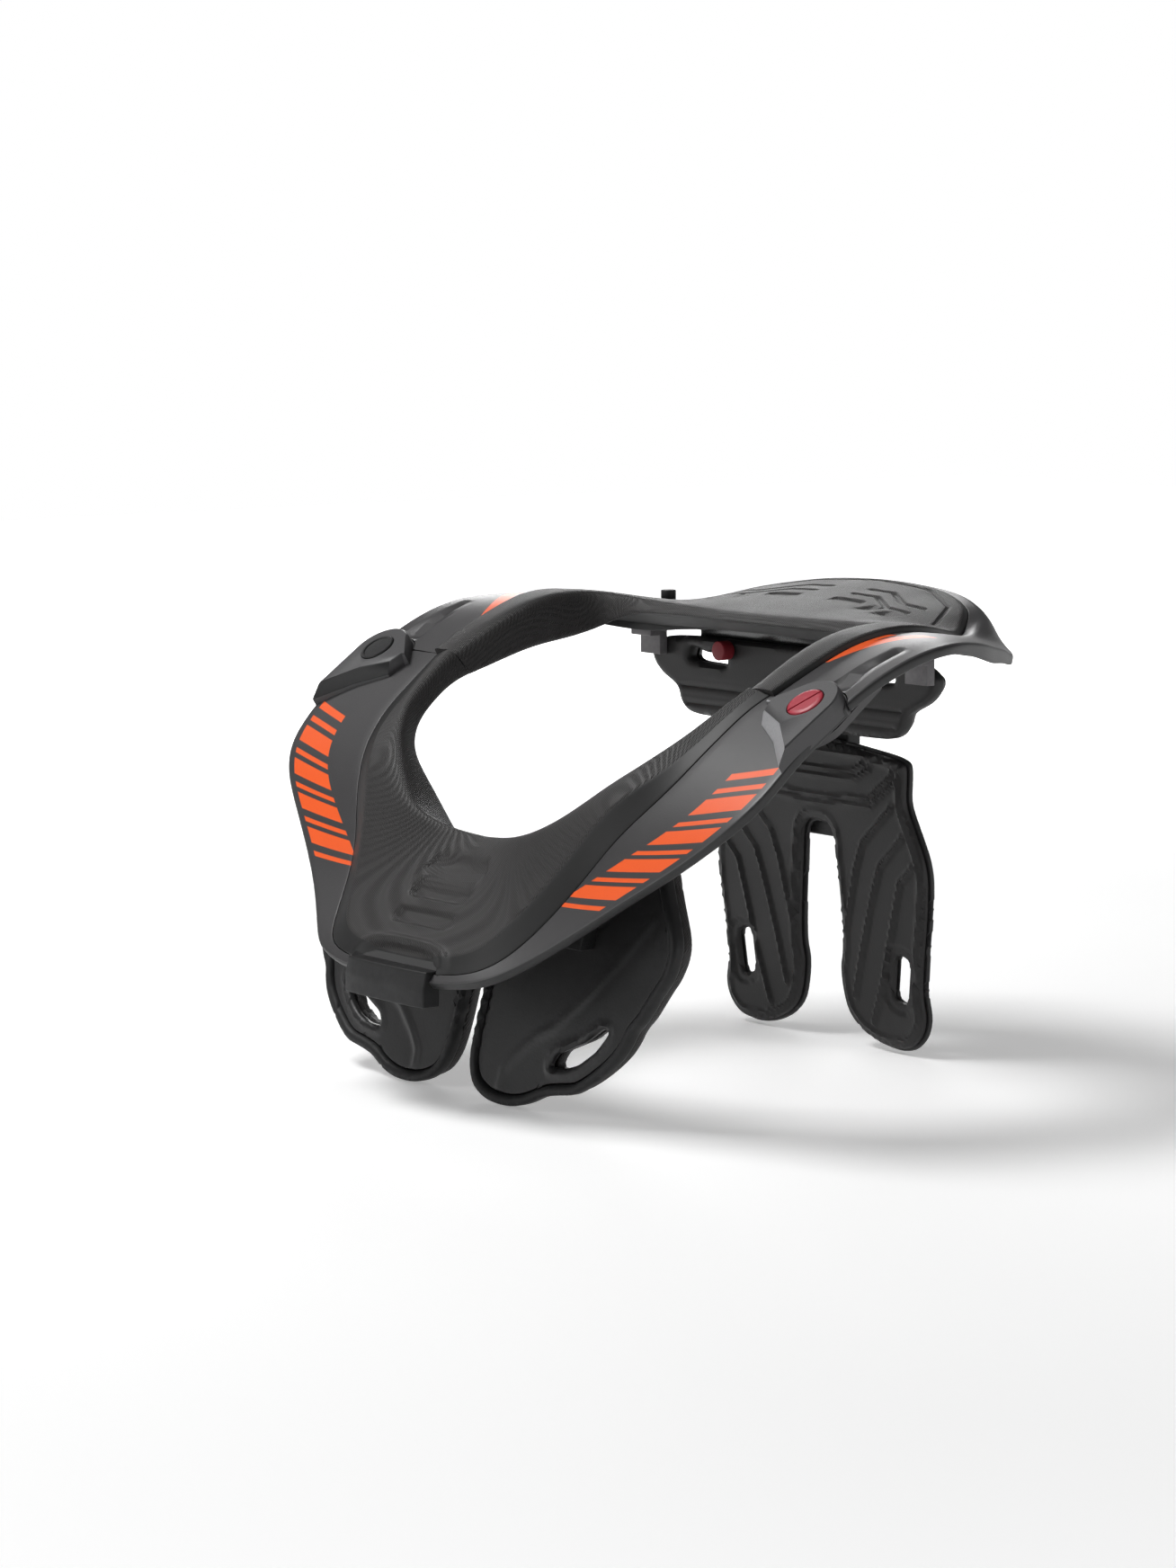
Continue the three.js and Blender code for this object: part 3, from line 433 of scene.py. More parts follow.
def cut_rear_end(piece, sign):
    """Cuts a rear arm before its seam, with the seat of the round end."""
    radius = hinge_radius + hinge_clearance
    back = seam_back + hinge_clearance
    start = seam_angle(radius, back)
    outline = [(-hinge_half_spacing, back), *arc(radius, 180 - start, start), (far, back)]
    outline += [(far, -2 * far), (-hinge_half_spacing, -2 * far)]
    cut(piece, hinge_prism("cutter", sign, [(outline, -far), (outline, far)], shell_finish))


shell_grey = (0.043, 0.0415, 0.043)
print_orange = (0.80, 0.10, 0.013)
wall_black = (0.014, 0.014, 0.0145)
bar_pitch = 18.6
bar_wide = 9.2
bar_thin = (11.6, 14.8)
bar_slant = 0.5
bars_from, bars_to = 104, 190
bars_low, bars_high = 4.0, 25.5
bars_ahead = 4
wedge_root = 31

shell_finish = Finish("satin shell with printed bars", shell_grey, 0.36, gloss=0.5)
x, y, _ = shell_finish.place()
u, v, _ = shell_finish.place("UV")
speckle = shell_finish.noise(0.5)
cloud = shell_finish.noise(30)


def shade(colour, share):
    return tuple(share * c for c in colour)


def between(finish, value, low, high, soft=0.4):
    return finish.step(value, low, low + soft) * (1 - finish.step(value, high - soft, high))


slanted = u + v * bar_slant
phase = slanted.math("DIVIDE", bar_pitch).math("FRACT") * bar_pitch
bars = between(shell_finish, phase, 0, bar_wide) + between(shell_finish, phase, *bar_thin)
zone = between(shell_finish, slanted, bars_from, bars_to) * between(shell_finish, v, bars_low, bars_high)
front_bars = bars * zone * (y < -row_back - bars_ahead)
aside = x.math("ABSOLUTE")


def wedge_arm(slope, side, band, stretch):
    """One arm of the rear half's forked wedge: a band beside a slanted line."""
    line = (y + row_back - wedge_root) * slope - (aside - side)
    reach = between(shell_finish, y, stretch[0] - row_back, stretch[1] - row_back)
    return between(shell_finish, line, *band) * reach


long_arm = wedge_arm(slope=0.62, side=108, band=(-3, 5.5), stretch=(30, 66))
short_arm = wedge_arm(slope=0.2, side=110, band=(-0.6, 3.6), stretch=(36, 60))
rear_wedge = (long_arm + short_arm).math("MINIMUM", 1)
printed = (front_bars + rear_wedge).math("MINIMUM", 1)
wall = 1 - shell_finish.step(v, -0.4, 0)
tone = shell_finish.mix(cloud, shade(shell_grey, 0.86), shade(shell_grey, 1.15))
tone = shell_finish.mix(wall, tone, wall_black)
ink = shell_finish.mix(speckle, print_orange, shade(print_orange, 1.12))
shell_finish.colour(shell_finish.mix(printed, tone, ink))
shell_finish.roughness(0.33 + speckle * 0.12 + wall * 0.15)
shell_finish.bump(speckle, 0.035)


def front_place(x, y, z):
    return (x * half_width, -y * front_reach, hinge_height - z * front_drop)


def lower(points, lines, depth):
    return points - lines["up"] * np.reshape(depth, (-1, 1))


def shell_body(name, lines, tops, wall, radii, fills):
    """A shell: over the top from rim to inner edge, then back underneath."""
    upper = [lines[top] for top in tops] + [lines["foot"]]
    over = upper + [lower(lines["foot"], lines, pad_seat), lines["edge_in"]]
    under = [lines["edge_in"], *reversed(upper)]
    corners = np.stack(over + [lower(points, lines, wall) for points in under], axis=1)
    sections, sides = rounded(corners, radii, fills)
    across = np.linalg.norm(sections - lines["rim"][:, None], axis=-1)
    across[:, :sides[0] - 2] = off_face
    across[:, sides[len(tops)]:] = off_face
    return loft(name, sections, shell_finish, across, lines["along"])


front_lines = arm_lines(front_columns, front_rows, front_place)
front_shell = shell_body("front_shell_body", front_lines, ["rim"], shell_wall,
                         [1.3, 0.3, 0.3, 0.4, 0.6, 2, 1.2], {0: 10, 5: 4})
for sign in (1, -1):
    cut_front_end(front_shell, sign)
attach(front_shell, "front_half")
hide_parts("front_shell")


# Foam liner of the front half: thick black foam with a fine woven grain moulded in, rolled over the
# shell's inner edge. Plain sunk panels are pressed in its chest, and an arch over the middle tab.
foam_black = (0.019, 0.0182, 0.0184)
foam_smooth = (0.0085, 0.0084, 0.0086)
# Warm brown for random patches: painted sheen of the foam's highlights, mixed with wear.
foam_wear_and_sheen = (0.026, 0.0225, 0.021)
grain_pitch = 0.95
grain_turn = math.radians(40)
foam_finish = Finish("woven-grain foam", foam_black, 0.5, gloss=0.4)
x, y, z = foam_finish.place()
_, v, _ = foam_finish.place("UV")
warp = (x * (2 * math.pi / grain_pitch)).math("SINE")
weft = ((y * math.cos(grain_turn) - z * math.sin(grain_turn)) * (2 * math.pi / grain_pitch)).math("SINE")
woven = foam_finish.step(v, -0.6, -0.2)
grain = (warp * weft * 0.5 + 0.5) * woven + (1 - woven) * 0.5
cloud = foam_finish.noise(18)
tone = foam_finish.mix(grain, shade(foam_black, 0.72), shade(foam_black, 1.25))
# Random warm patches of painted sheen and wear.
tone = foam_finish.mix(cloud * 0.4, tone, foam_wear_and_sheen)
tone = foam_finish.mix(woven, foam_smooth, tone)
foam_finish.colour(tone)
foam_finish.roughness(0.44 + cloud * 0.14)
foam_finish.bump(grain, 0.22)


def pad_corners(lines, shoulder, wall):
    """Corners of the foam: in along the shell, round the roll and out over its crest."""
    out = lines["out"]
    side = unit(out * (1, 1, 0))
    foot = lines["foot"] - out * gap
    seat = lower(lines["foot"], lines, pad_seat - gap) - out * gap
    edge_top = lower(lines["edge_in"], lines, -gap) - out * gap
    edge_bottom = lower(lines["edge_in"], lines, wall) - out * gap
    roll_end = lines["inner"] + side * roll_back
    crest_in = lines["crest"] * 0.78 + lines["inner"] * 0.22 - side * 0.9
    crest_out = lower(lines["crest"] * 0.7 + shoulder * 0.3, lines, -0.8)
    return np.stack([seat, edge_top, edge_bottom, roll_end, lines["inner"], crest_in,
                     lines["crest"], crest_out, shoulder, foot], axis=1)


pad_radii = [0.3, 0.4, 1, 2.4, 2.6, 3, 4.5, 12, 1.5, 0.4]
roll_corner, crest_corner, shoulder_corner = 3, 6, 8


def outward_normals(sections, lines):
    """The direction out of the foam at each point of its sections."""
    normals = np.cross(np.gradient(sections, axis=0), np.gradient(sections, axis=1))
    normals = unit(normals + 1e-9)
    return normals * np.sign(np.einsum("skc,sc->sk", normals, lines["up"]).mean())


def soft_step(value, low, high):
    t = np.clip((value - low) / (high - low), 0, 1)
    return t * t * (3 - 2 * t)


def capsule(a, b, start, stop):
    """Distance of points (a, b) from the line between two points."""
    start, stop = np.array(start, float), np.array(stop, float)
    run = stop - start
    share = np.clip(((a - start[0]) * run[0] + (b - start[1]) * run[1]) / run.dot(run), 0, 1)
    return np.hypot(a - start[0] - share * run[0], b - start[1] - share * run[1])


def polyline(a, b, points):
    """Distance of points (a, b) from a line through several points."""
    return np.min([capsule(a, b, p, q) for p, q in zip(points, points[1:])], axis=0)


def pad_body(name, lines, shoulder, wall, fills, carve):
    """A foam liner, with carve() giving how far each point of its face moves out."""
    sections, sides = rounded(pad_corners(lines, shoulder, wall), pad_radii, fills)
    faced = slice(sides[crest_corner], sides[shoulder_corner + 1])
    depth = np.zeros(sections.shape[:2])
    depth[:, faced] = carve(sections[:, faced])
    moved = sections + outward_normals(sections, lines) * depth[..., None]
    across = np.ones(sections.shape[:2])
    across[:, sides[shoulder_corner] - 2:] = off_face
    across[:, :sides[roll_corner]] = off_face
    return loft(name, moved, foam_finish, across, lines["along"])


chest_bar_levels = (70, 79, 88)
chest_bar_half, chest_bar_round, chest_bar_depth = 15, 2.6, 1.5
arch_half_width, arch_foot, arch_height = 26.5, 46, 15
arch_depth, arch_lip = 2.2, 0.9


def front_carving(points):
    """Three equal sunk bars on the chest, and the arch over the tab with its raised lip."""
    x, _, z = np.moveaxis(points, -1, 0)
    bars = [capsule(x, z, (-chest_bar_half, level), (chest_bar_half, level)) for level in chest_bar_levels]
    panel = np.min(bars, axis=0) - chest_bar_round
    sunk = -chest_bar_depth * (1 - soft_step(panel, -0.7, 0.5))
    arch = (np.abs(x) / arch_half_width) ** 4 + (np.maximum(z - arch_foot, 0) / arch_height) ** 4
    sunk -= arch_depth * (1 - soft_step(arch, 0.6, 0.95))
    return sunk + arch_lip * np.exp(-((arch - 1.35) / 0.35) ** 2)


front_pad = pad_body("front_pad_foam", front_lines, front_lines["edge"], shell_wall,
                     {7: 52, 8: 7, 9: 0}, front_carving)
for sign in (1, -1):
    cut_front_end(front_pad, sign)
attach(front_pad, "front_half")
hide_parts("front_pad")


# Rear half: the same moulded shell carried back as a table behind the neck, with a turned-down
# brim, a lug under each front arm that takes the hinge pin, and a long scoop behind each hinge.
lug_inset = 2.7
lug_depth = hinge_radius - lug_inset
lug_top = -5.75
lug_wall = 2.8
lug_back = 27
lug_half_width = 9
lug_step = 3
lug_join = 17.5
scoop_wide, scoop_tip = (133, 14), (136, 44)
scoop_depth = 1.5
scoop_taper, scoop_end = 4.6, 0.8
tail_extra = 2.6
tail_side, tail_spread = 112, 26
tail_from, tail_full = 55, 90
rear_columns = ("inner", "crest", "foot", "shoulder", "brim", "rim")
rear_rows = [
    ((0.605, -0.035, -0.275), (0.625, -0.035, -0.03), (0.7, -0.035, -0.105),
     (0.795, -0.035, -0.115), (0.895, -0.035, -0.125), (1, -0.035, -0.135)),
    ((0.605, 0.045, -0.18), (0.635, 0.05, 0.2), (0.725, 0.045, 0.13),
     (0.815, 0.045, 0.155), (0.9, 0.05, 0.17), (0.995, 0.05, 0.18)),
    ((0.595, 0.15, 0.005), (0.625, 0.145, 0.48), (0.73, 0.15, 0.405),
     (0.82, 0.15, 0.435), (0.91, 0.15, 0.45), (1, 0.15, 0.45)),
    ((0.595, 0.255, 0.17), (0.625, 0.255, 0.725), (0.735, 0.255, 0.645),
     (0.83, 0.255, 0.665), (0.915, 0.255, 0.665), (1, 0.255, 0.64)),
    ((0.605, 0.355, 0.22), (0.63, 0.35, 0.815), (0.76, 0.355, 0.765),
     (0.835, 0.355, 0.765), (0.91, 0.35, 0.75), (0.985, 0.35, 0.695)),
    ((0.605, 0.445, 0.31), (0.64, 0.44, 0.81), (0.74, 0.445, 0.735),
     (0.8, 0.45, 0.73), (0.86, 0.46, 0.7), (0.915, 0.46, 0.655)),
    ((0.565, 0.485, 0.45), (0.595, 0.505, 0.77), (0.7, 0.53, 0.665),
     (0.74, 0.54, 0.67), (0.79, 0.555, 0.64), (0.835, 0.58, 0.57)),
    ((0.49, 0.49, 0.555), (0.51, 0.525, 0.74), (0.64, 0.615, 0.585),
     (0.665, 0.63, 0.605), (0.705, 0.655, 0.56), (0.74, 0.685, 0.46)),
    ((0.39, 0.485, 0.57), (0.41, 0.53, 0.73), (0.565, 0.715, 0.51),
     (0.585, 0.73, 0.565), (0.62, 0.77, 0.465), (0.65, 0.785, 0.385)),
    ((0.305, 0.485, 0.58), (0.325, 0.525, 0.725), (0.51, 0.77, 0.62),
     (0.52, 0.82, 0.645), (0.55, 0.855, 0.395), (0.575, 0.86, 0.265)),
    ((0.23, 0.485, 0.585), (0.25, 0.525, 0.72), (0.445, 0.835, 0.75),
     (0.47, 0.885, 0.645), (0.495, 0.9, 0.375), (0.53, 0.915, 0.24)),
    ((0.17, 0.48, 0.585), (0.185, 0.525, 0.715), (0.365, 0.88, 0.83),
     (0.405, 0.91, 0.805), (0.42, 0.935, 0.415), (0.435, 0.945, 0.22)),
    ((0.11, 0.48, 0.585), (0.12, 0.52, 0.71), (0.255, 0.915, 0.91),
     (0.295, 0.94, 0.92), (0.305, 0.97, 0.465), (0.31, 0.975, 0.21)),
    ((0.055, 0.48, 0.585), (0.06, 0.52, 0.71), (0.13, 0.93, 0.95),
     (0.15, 0.96, 0.98), (0.15, 0.985, 0.495), (0.155, 0.995, 0.2)),
    ((0, 0.48, 0.585), (0, 0.52, 0.71), (0, 0.935, 0.965),
     (0, 0.965, 1), (0, 0.995, 0.51), (0, 1, 0.2)),
]


def rear_place(x, y, z):
    return (x * half_width, y * rear_reach, hinge_height + z * rear_rise)


rear_lines = arm_lines(rear_columns, rear_rows, rear_place)
rim_side, rim_back = np.abs(rear_lines["rim"][:, 0]), rear_lines["rim"][:, 1]
tail_share = np.exp(-((rim_side - tail_side) / tail_spread) ** 2)
tail_wall = rear_wall + tail_extra * tail_share * soft_step(rim_back, tail_from, tail_full)
rear_shell = shell_body("rear_shell_body", rear_lines, ["rim", "brim", "shoulder"], tail_wall,
                        [1.8, 9, 7, 0.3, 0.3, 0.4, 0.6, 2, 7, 8, 1.4], {0: 14, 1: 14, 2: 8, 7: 3, 8: 3})
work = bmesh.new()
work.from_mesh(rear_shell.data)
for vertex in work.verts:
    place = vertex.co * 1000
    side, back = abs(place.x), place.y + row_back
    run = (back - scoop_wide[1]) / (scoop_tip[1] - scoop_wide[1])
    if vertex.normal.z > 0.5 and -0.1 < run < 1:
        middle = scoop_wide[0] + run * (scoop_tip[0] - scoop_wide[0])
        reach = scoop_taper * (1 - run) + scoop_end
        inside = 1 - soft_step(abs(side - middle), reach - 1, reach + 0.4)
        vertex.co -= vertex.normal * scoop_depth / 1000 * inside * soft_step(run, -0.08, 0.02)
work.to_mesh(rear_shell.data)
work.free()
lugs = []
for sign in (1, -1):
    cut_rear_end(rear_shell, sign)
    outline = [*arc(lug_depth, -180, 0), (lug_half_width, lug_back), (-lug_half_width, lug_back)]
    rings = [(outline, lug_top - lug_wall), (outline, lug_top)]
    lugs.append(hinge_prism("lug", sign, rings, shell_finish))
    joint = [(-lug_half_width, lug_join), (lug_half_width, lug_join)]
    joint += [(lug_half_width, lug_back), (-lug_half_width, lug_back)]
    rings = [(joint, lug_top - lug_wall), (joint, lug_top + lug_step)]
    lugs.append(hinge_prism("lug block", sign, rings, shell_finish))
only(rear_shell)
for lug in lugs:
    lug.select_set(True)
bpy.ops.object.join()
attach(rear_shell, "rear_half")
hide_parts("rear_shell")


# Foam liner of the rear half: the same woven foam over the whole table, thick at its edge, with
# plain pressed chevron lines on its flat.
chevron = [(12, 122), (26, 122), (44, 111), (56, 111)]
chevron_shifts = (0, 9, 18)
chevron_depth, border_depth = 0.9, 0.5
table_border = [(0, 156), (34, 152), (60, 139), (74, 118)]


def rear_carving(points):
    """Nested chevrons on each side of the table, and one line along its edge."""
    x, y, _ = np.moveaxis(points, -1, 0)
    side = np.abs(x)
    nested = [polyline(side, y, [(a, b + shift) for a, b in chevron]) for shift in chevron_shifts]
    sunk = chevron_depth * (1 - soft_step(np.min(nested, axis=0), 0.7, 1.6))
    return -sunk - border_depth * (1 - soft_step(polyline(side, y, table_border), 0.4, 1.3))


rear_shoulder = lower(rear_lines["foot"] * 0.95 + rear_lines["crest"] * 0.05, rear_lines, -pad_step)
rear_pad = pad_body("rear_pad_foam", rear_lines, rear_shoulder, rear_wall, {7: 56, 8: 1}, rear_carving)
for sign in (1, -1):
    cut_rear_end(rear_pad, sign)
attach(rear_pad, "rear_half")
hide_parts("rear_pad")


# Hinge covers: a raised plastic cap over each hinge, on the front arm, with a rounded rear end, a
# bevelled front edge, a round seat and a bore. The left bevel is bare silver, the right one black.
cover_height = 5
cover_sunk = -3
cover_side = 0.4
cover_inset = 21
cover_reach = 24
cover_front = 1.32
cover_edge = 0.8
cover_bevel = 5.5
button_radius = 7.4
pin_radius = 2.8
seat_floor = 1.15
cover_finish = Finish("dark cover plastic", (0.040, 0.039, 0.041), 0.42, gloss=0.5)
grain = cover_finish.noise(0.7)
cover_finish.roughness(0.36 + grain * 0.16)
cover_finish.bump(grain, 0.04)
silver_finish = Finish("bare silver plastic", (0.3, 0.3, 0.31), 0.38, metallic=0.4, gloss=0.5)
scuff = silver_finish.noise(0.9, 5)
silver_finish.colour(silver_finish.mix(scuff, (0.22, 0.22, 0.23), (0.44, 0.44, 0.45)))
silver_finish.roughness(0.3 + scuff * 0.25)
black_finish = Finish("black moulded plastic", (0.013, 0.013, 0.0135), 0.45)
scuff = black_finish.noise(0.8)
black_finish.roughness(0.36 + scuff * 0.2)
black_finish.bump(scuff, 0.05)


def cover_outline(side_edge, front_edge):
    """The cover seen along the hinge axis, drawn in from its sides and its front edge."""
    radius = hinge_radius - cover_side - side_edge
    corner = half_width - hinge_half_spacing - 0.5 - side_edge
    inboard = -cover_inset + side_edge
    front = [(inboard * 0.9, -3 + front_edge * 0.25)]
    front += [(inboard * 0.8, -cover_reach * 0.45 + front_edge * 0.6)]
    front += [(-2, -cover_reach * 0.8 + front_edge)]
    front += [(corner, -cover_reach * cover_front + front_edge * 1.1)]
    return [*arc(radius, 0, 135), (inboard, -2 + side_edge), *front]


axis = Vector((0, -math.sin(hinge_tilt), math.cos(hinge_tilt)))
ahead = Vector((0, -math.cos(hinge_tilt), -math.sin(hinge_tilt)))
for name, sign, bevel_finish in (("left", 1, silver_finish), ("right", -1, black_finish)):
    rings = [(cover_outline(0, 0), cover_sunk), (cover_outline(0, 0), 0.8), (cover_outline(0, 0.3), 1.2)]
    rings += [(cover_outline(0.25, cover_bevel), cover_height - 0.5)]
    rings += [(cover_outline(cover_edge, cover_bevel + 0.8), cover_height)]
    cover = hinge_prism(f"hinge_cover_{name}_cap", sign, rings, cover_finish)
    cover.data.materials.append(bevel_finish.material)
    for face in cover.data.polygons:
        front_facing = face.normal.dot(ahead) > 0.35 and face.normal.dot(axis) > 0.25
        face.material_index = 1 if front_facing else 0
    seat = arc(button_radius + gap, 0, 352.5, 48)
    cut(cover, hinge_prism("cutter", sign, [(seat, seat_floor), (seat, far)], cover_finish))
    bore = arc(pin_radius + gap, 0, 345, 24)
    cut(cover, hinge_prism("cutter", sign, [(bore, -far), (bore, far)], cover_finish))
    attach(cover, "front_half")
    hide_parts(f"hinge_cover_{name}")


# Release button of the left hinge: a red moulded button that is pressed in to open the brace. Its
# face has one straight groove across it.
button_top = 5.7
button_depth = 2.8
stroke = 1.6
stem_low = stroke - 3.4
groove_length, groove_width, groove_depth = 17, 1.0, 0.6
groove_turn = 62
red_finish = Finish("red button plastic", (0.40, 0.024, 0.045), 0.36, coat=0.1)
scuff = red_finish.noise(0.6)
red_finish.colour(red_finish.mix(scuff, (0.34, 0.018, 0.036), (0.45, 0.035, 0.058)))
red_finish.roughness(0.3 + scuff * 0.16)
red_finish.bump(scuff, 0.03)


def turned(name, sign, profile, finish):
    """A round part on a hinge axis from (radius, height) steps, its two ends closed."""
    rings = [(arc(radius, 0, 352.5, 48), height) for radius, height in profile]
    return hinge_prism(name, sign, rings, finish)


def bar_outline(length, width, angle):
    """A rounded bar's outline round the hinge axis, at an angle to the across direction."""
    half = length / 2 - width / 2
    ends = [arc(width / 2, -90, 90, 9, (half, 0)), arc(width / 2, 90, 270, 9, (-half, 0))]
    c, s = math.cos(math.radians(angle)), math.sin(math.radians(angle))
    return [(x * c - y * s, x * s + y * c) for end in ends for x, y in end]


base = button_top - button_depth
button = turned("release_button_cap", 1, [
    (pin_radius, stem_low), (pin_radius, base), (button_radius - 0.3, base), (button_radius, base + 0.3),
    (button_radius, button_top - 0.9), (button_radius - 0.25, button_top - 0.35),
    (button_radius - 0.9, button_top - 0.05), (button_radius - 2, button_top)], red_finish)
groove = bar_outline(groove_length, groove_width, groove_turn)
cut(button, hinge_prism("cutter", 1, [(groove, button_top - groove_depth), (groove, far)], red_finish))
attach(button, "button")
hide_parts("release_button")


# Hinge pin of the right side: a black round cap with a raised ring, fixed to the rear arm.
pin_low = lug_top - lug_wall
pin_base = button_top - button_depth - stroke + 1
pin = turned("hinge_pin_cap", -1, [
    (pin_radius, pin_low), (pin_radius, pin_base), (button_radius - 0.2, pin_base),
    (button_radius, pin_base + 0.2), (button_radius, cover_height + 0.3),
    (button_radius - 0.4, cover_height + 0.7), (button_radius - 1.2, cover_height + 0.7),
    (button_radius - 1.5, cover_height + 0.25), (button_radius - 2.2, cover_height + 0.2)], black_finish)
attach(pin, "rear_half")
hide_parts("hinge_pin")


# Middle tab of the front rim: a black rubber block with rounded edges and a bare face, swept back
# towards its sides and its top.
tab_half_width = 25.5
tab_face = -98.8
tab_low, tab_high = 40.1, 53.8
tab_depth = 9
tab_cuts = 9
tab_sweep, tab_sweep_from = 3.2, 0.45
tab_slope, tab_slope_from = 3, 0.5
rubber_finish = Finish("black rubber", (0.011, 0.011, 0.0115), 0.55)
dust = rubber_finish.noise(3, 6)
rubber_finish.roughness(0.42 + dust * 0.25)
rubber_finish.bump(rubber_finish.noise(0.6), 0.05)


def bevel(piece, width, segments=3, angle=30):
    modifier = piece.modifiers.new("bevel", "BEVEL")
    modifier.width = width / 1000
    modifier.segments = segments
    modifier.limit_method = "ANGLE"
    modifier.angle_limit = math.radians(angle)
    modifier.harden_normals = False
    only(piece)
    bpy.ops.object.modifier_apply(modifier=modifier.name)
    bpy.ops.object.shade_smooth_by_angle(angle=math.radians(crease_angle))


def block(name, low, high, finish):
    """A primitive box between two corners, in millimetres, with its place in its mesh."""
    bpy.ops.object.select_all(action="DESELECT")
    low, high = metres(low), metres(high)
    bpy.ops.mesh.primitive_cube_add(size=1, location=(low + high) / 2)
    piece = bpy.context.object
    piece.scale = high - low
    bpy.ops.object.transform_apply(location=True, rotation=True, scale=True)
    piece.name = name
    piece.data.materials.append(finish.material)
    return piece


tab = block("front_tab_rubber", (-tab_half_width, tab_face, tab_low),
            (tab_half_width, tab_face + tab_depth, tab_high), rubber_finish)
bpy.ops.object.mode_set(mode="EDIT")
bpy.ops.mesh.subdivide(number_cuts=tab_cuts)
bpy.ops.object.mode_set(mode="OBJECT")
for vertex in tab.data.vertices:
    share = abs(vertex.co.x) * 1000 / tab_half_width
    nearness = 1 - (vertex.co.y * 1000 + row_back - tab_face) / tab_depth
    rise = (vertex.co.z * 1000 - tab_low) / (tab_high - tab_low)
    shift = tab_sweep * max(share - tab_sweep_from, 0) ** 1.6 + tab_slope * max(rise - tab_slope_from, 0)
    vertex.co.y += shift * nearness / 1000
bevel(tab, 2.0, 4)
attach(tab, "front_half")
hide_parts("front_tab")


# Chest leaves: two satin black plates that hang from the front shell, each with a fold, a strap slot
# and a raised rubber rim, backed with foam.
leaf_width = 113.5
leaf_height = 98
leaf_lean = 0.29
leaf_toe = -64
leaf_wall = 2.4
leaf_rim_width = 4
leaf_rim_depth = 5.6
leaf_pad_depth = 5
leaf_outline = [
    (0.05, 0.64), (0.048, 0.39), (0.048, 0.235), (0.062, 0.125), (0.105, 0.05), (0.18, 0.012),
    (0.255, 0), (0.34, 0.004), (0.42, 0.03), (0.487, 0.07), (0.57, 0.088), (0.642, 0.1),
    (0.7, 0.138), (0.772, 0.2), (0.825, 0.26), (0.854, 0.315), (0.868, 0.366), (0.907, 0.414),
    (0.948, 0.507), (0.984, 0.569), (1, 0.639), (0.997, 0.704), (0.969, 0.767), (0.922, 0.844),
    (0.882, 0.915), (0.84, 1), (0.72, 0.9), (0.5, 0.72), (0.25, 0.65),
]
leaf_slot = [
    (0.48, 0.18), (0.555, 0.183), (0.625, 0.21), (0.7, 0.273), (0.75, 0.355), (0.713, 0.363),
    (0.63, 0.294), (0.5, 0.23),
]
leaf_fold = [
    (0.24, 0.065), (0.245, 0.13), (0.29, 0.19), (0.385, 0.28), (0.47, 0.33), (0.61, 0.48),
    (0.75, 0.65), (0.85, 0.79),
]
leaf_hidden = 3  # last corners of the outline, behind the front shell, where the lip stops
fold_rise, fold_width = 0.7, 2.4
slot_ring_rise, slot_ring_width, slot_ring_away = 0.8, 1.6, 1.8
corner_turns = 4
plate_finish = Finish("satin black plate", (0.019, 0.0188, 0.019), 0.36)
pebble = plate_finish.noise(0.9)
haze = plate_finish.noise(26)
plate_finish.colour(plate_finish.mix(haze, (0.014, 0.0138, 0.014), (0.026, 0.0255, 0.0265)))
plate_finish.roughness(0.27 + pebble * 0.14 + haze * 0.1)
plate_finish.bump(pebble, 0.05)


def ring_of(shares, width, height, sign=1, base=0.0, radius=7):
    """An outline of rounded corners from a table of shares, counter-clockwise on the left side."""
    corners = np.array([[(sign * x * width, base + z * height) for x, z in shares]])
    return rounded(corners, [radius] * len(shares), turns=corner_turns)[0][0]


def ring_area(ring):
    """The area inside an outline, negative where it runs clockwise."""
    following = np.roll(ring, -1, axis=0)
    return (ring[:, 0] * following[:, 1] - following[:, 0] * ring[:, 1]).sum() / 2


def drawn_in(ring, distance):
    """An outline moved inwards by a distance."""
    ahead = unit(np.roll(ring, -1, axis=0) - ring + 1e-9)
    behind = np.roll(ahead, 1, axis=0)
    turn_sign = np.sign(ring_area(ring))
    normal = unit(np.stack([-(ahead + behind)[:, 1], (ahead + behind)[:, 0]], axis=1)) * turn_sign
    side = np.stack([-behind[:, 1], behind[:, 0]], axis=1) * turn_sign
    lean = np.maximum(np.einsum("ij,ij->i", normal, side), 0.6)
    return ring + normal * (distance / lean)[:, None]


def within(points, ring):
    """Whether each point lies inside an outline, by the edges that a line to one side crosses."""
    x, z = points[:, :1], points[:, 1:]
    (x0, z0), (x1, z1) = ring.T, np.roll(ring, -1, axis=0).T
    spans = (z0 > z) != (z1 > z)
    crossing = (x1 - x0) * (z - z0) / np.where(z1 == z0, 1e-9, z1 - z0) + x0
    return (spans & (x < crossing)).sum(axis=1) % 2 == 1


def away_from(points, rings):
    """Distance of each point from the nearest outline."""
    best = np.full(len(points), np.inf)
    for ring in rings:
        for start, stop in zip(ring, np.roll(ring, -1, axis=0)):
            if np.abs(stop - start).max() > 1e-6:
                best = np.minimum(best, capsule(points[:, 0], points[:, 1], start, stop))
    return best


edge_bands = (0.35, 0.9)  # rows of points drawn in from each outline
band_clear, grid_clear = 0.3, 1.4


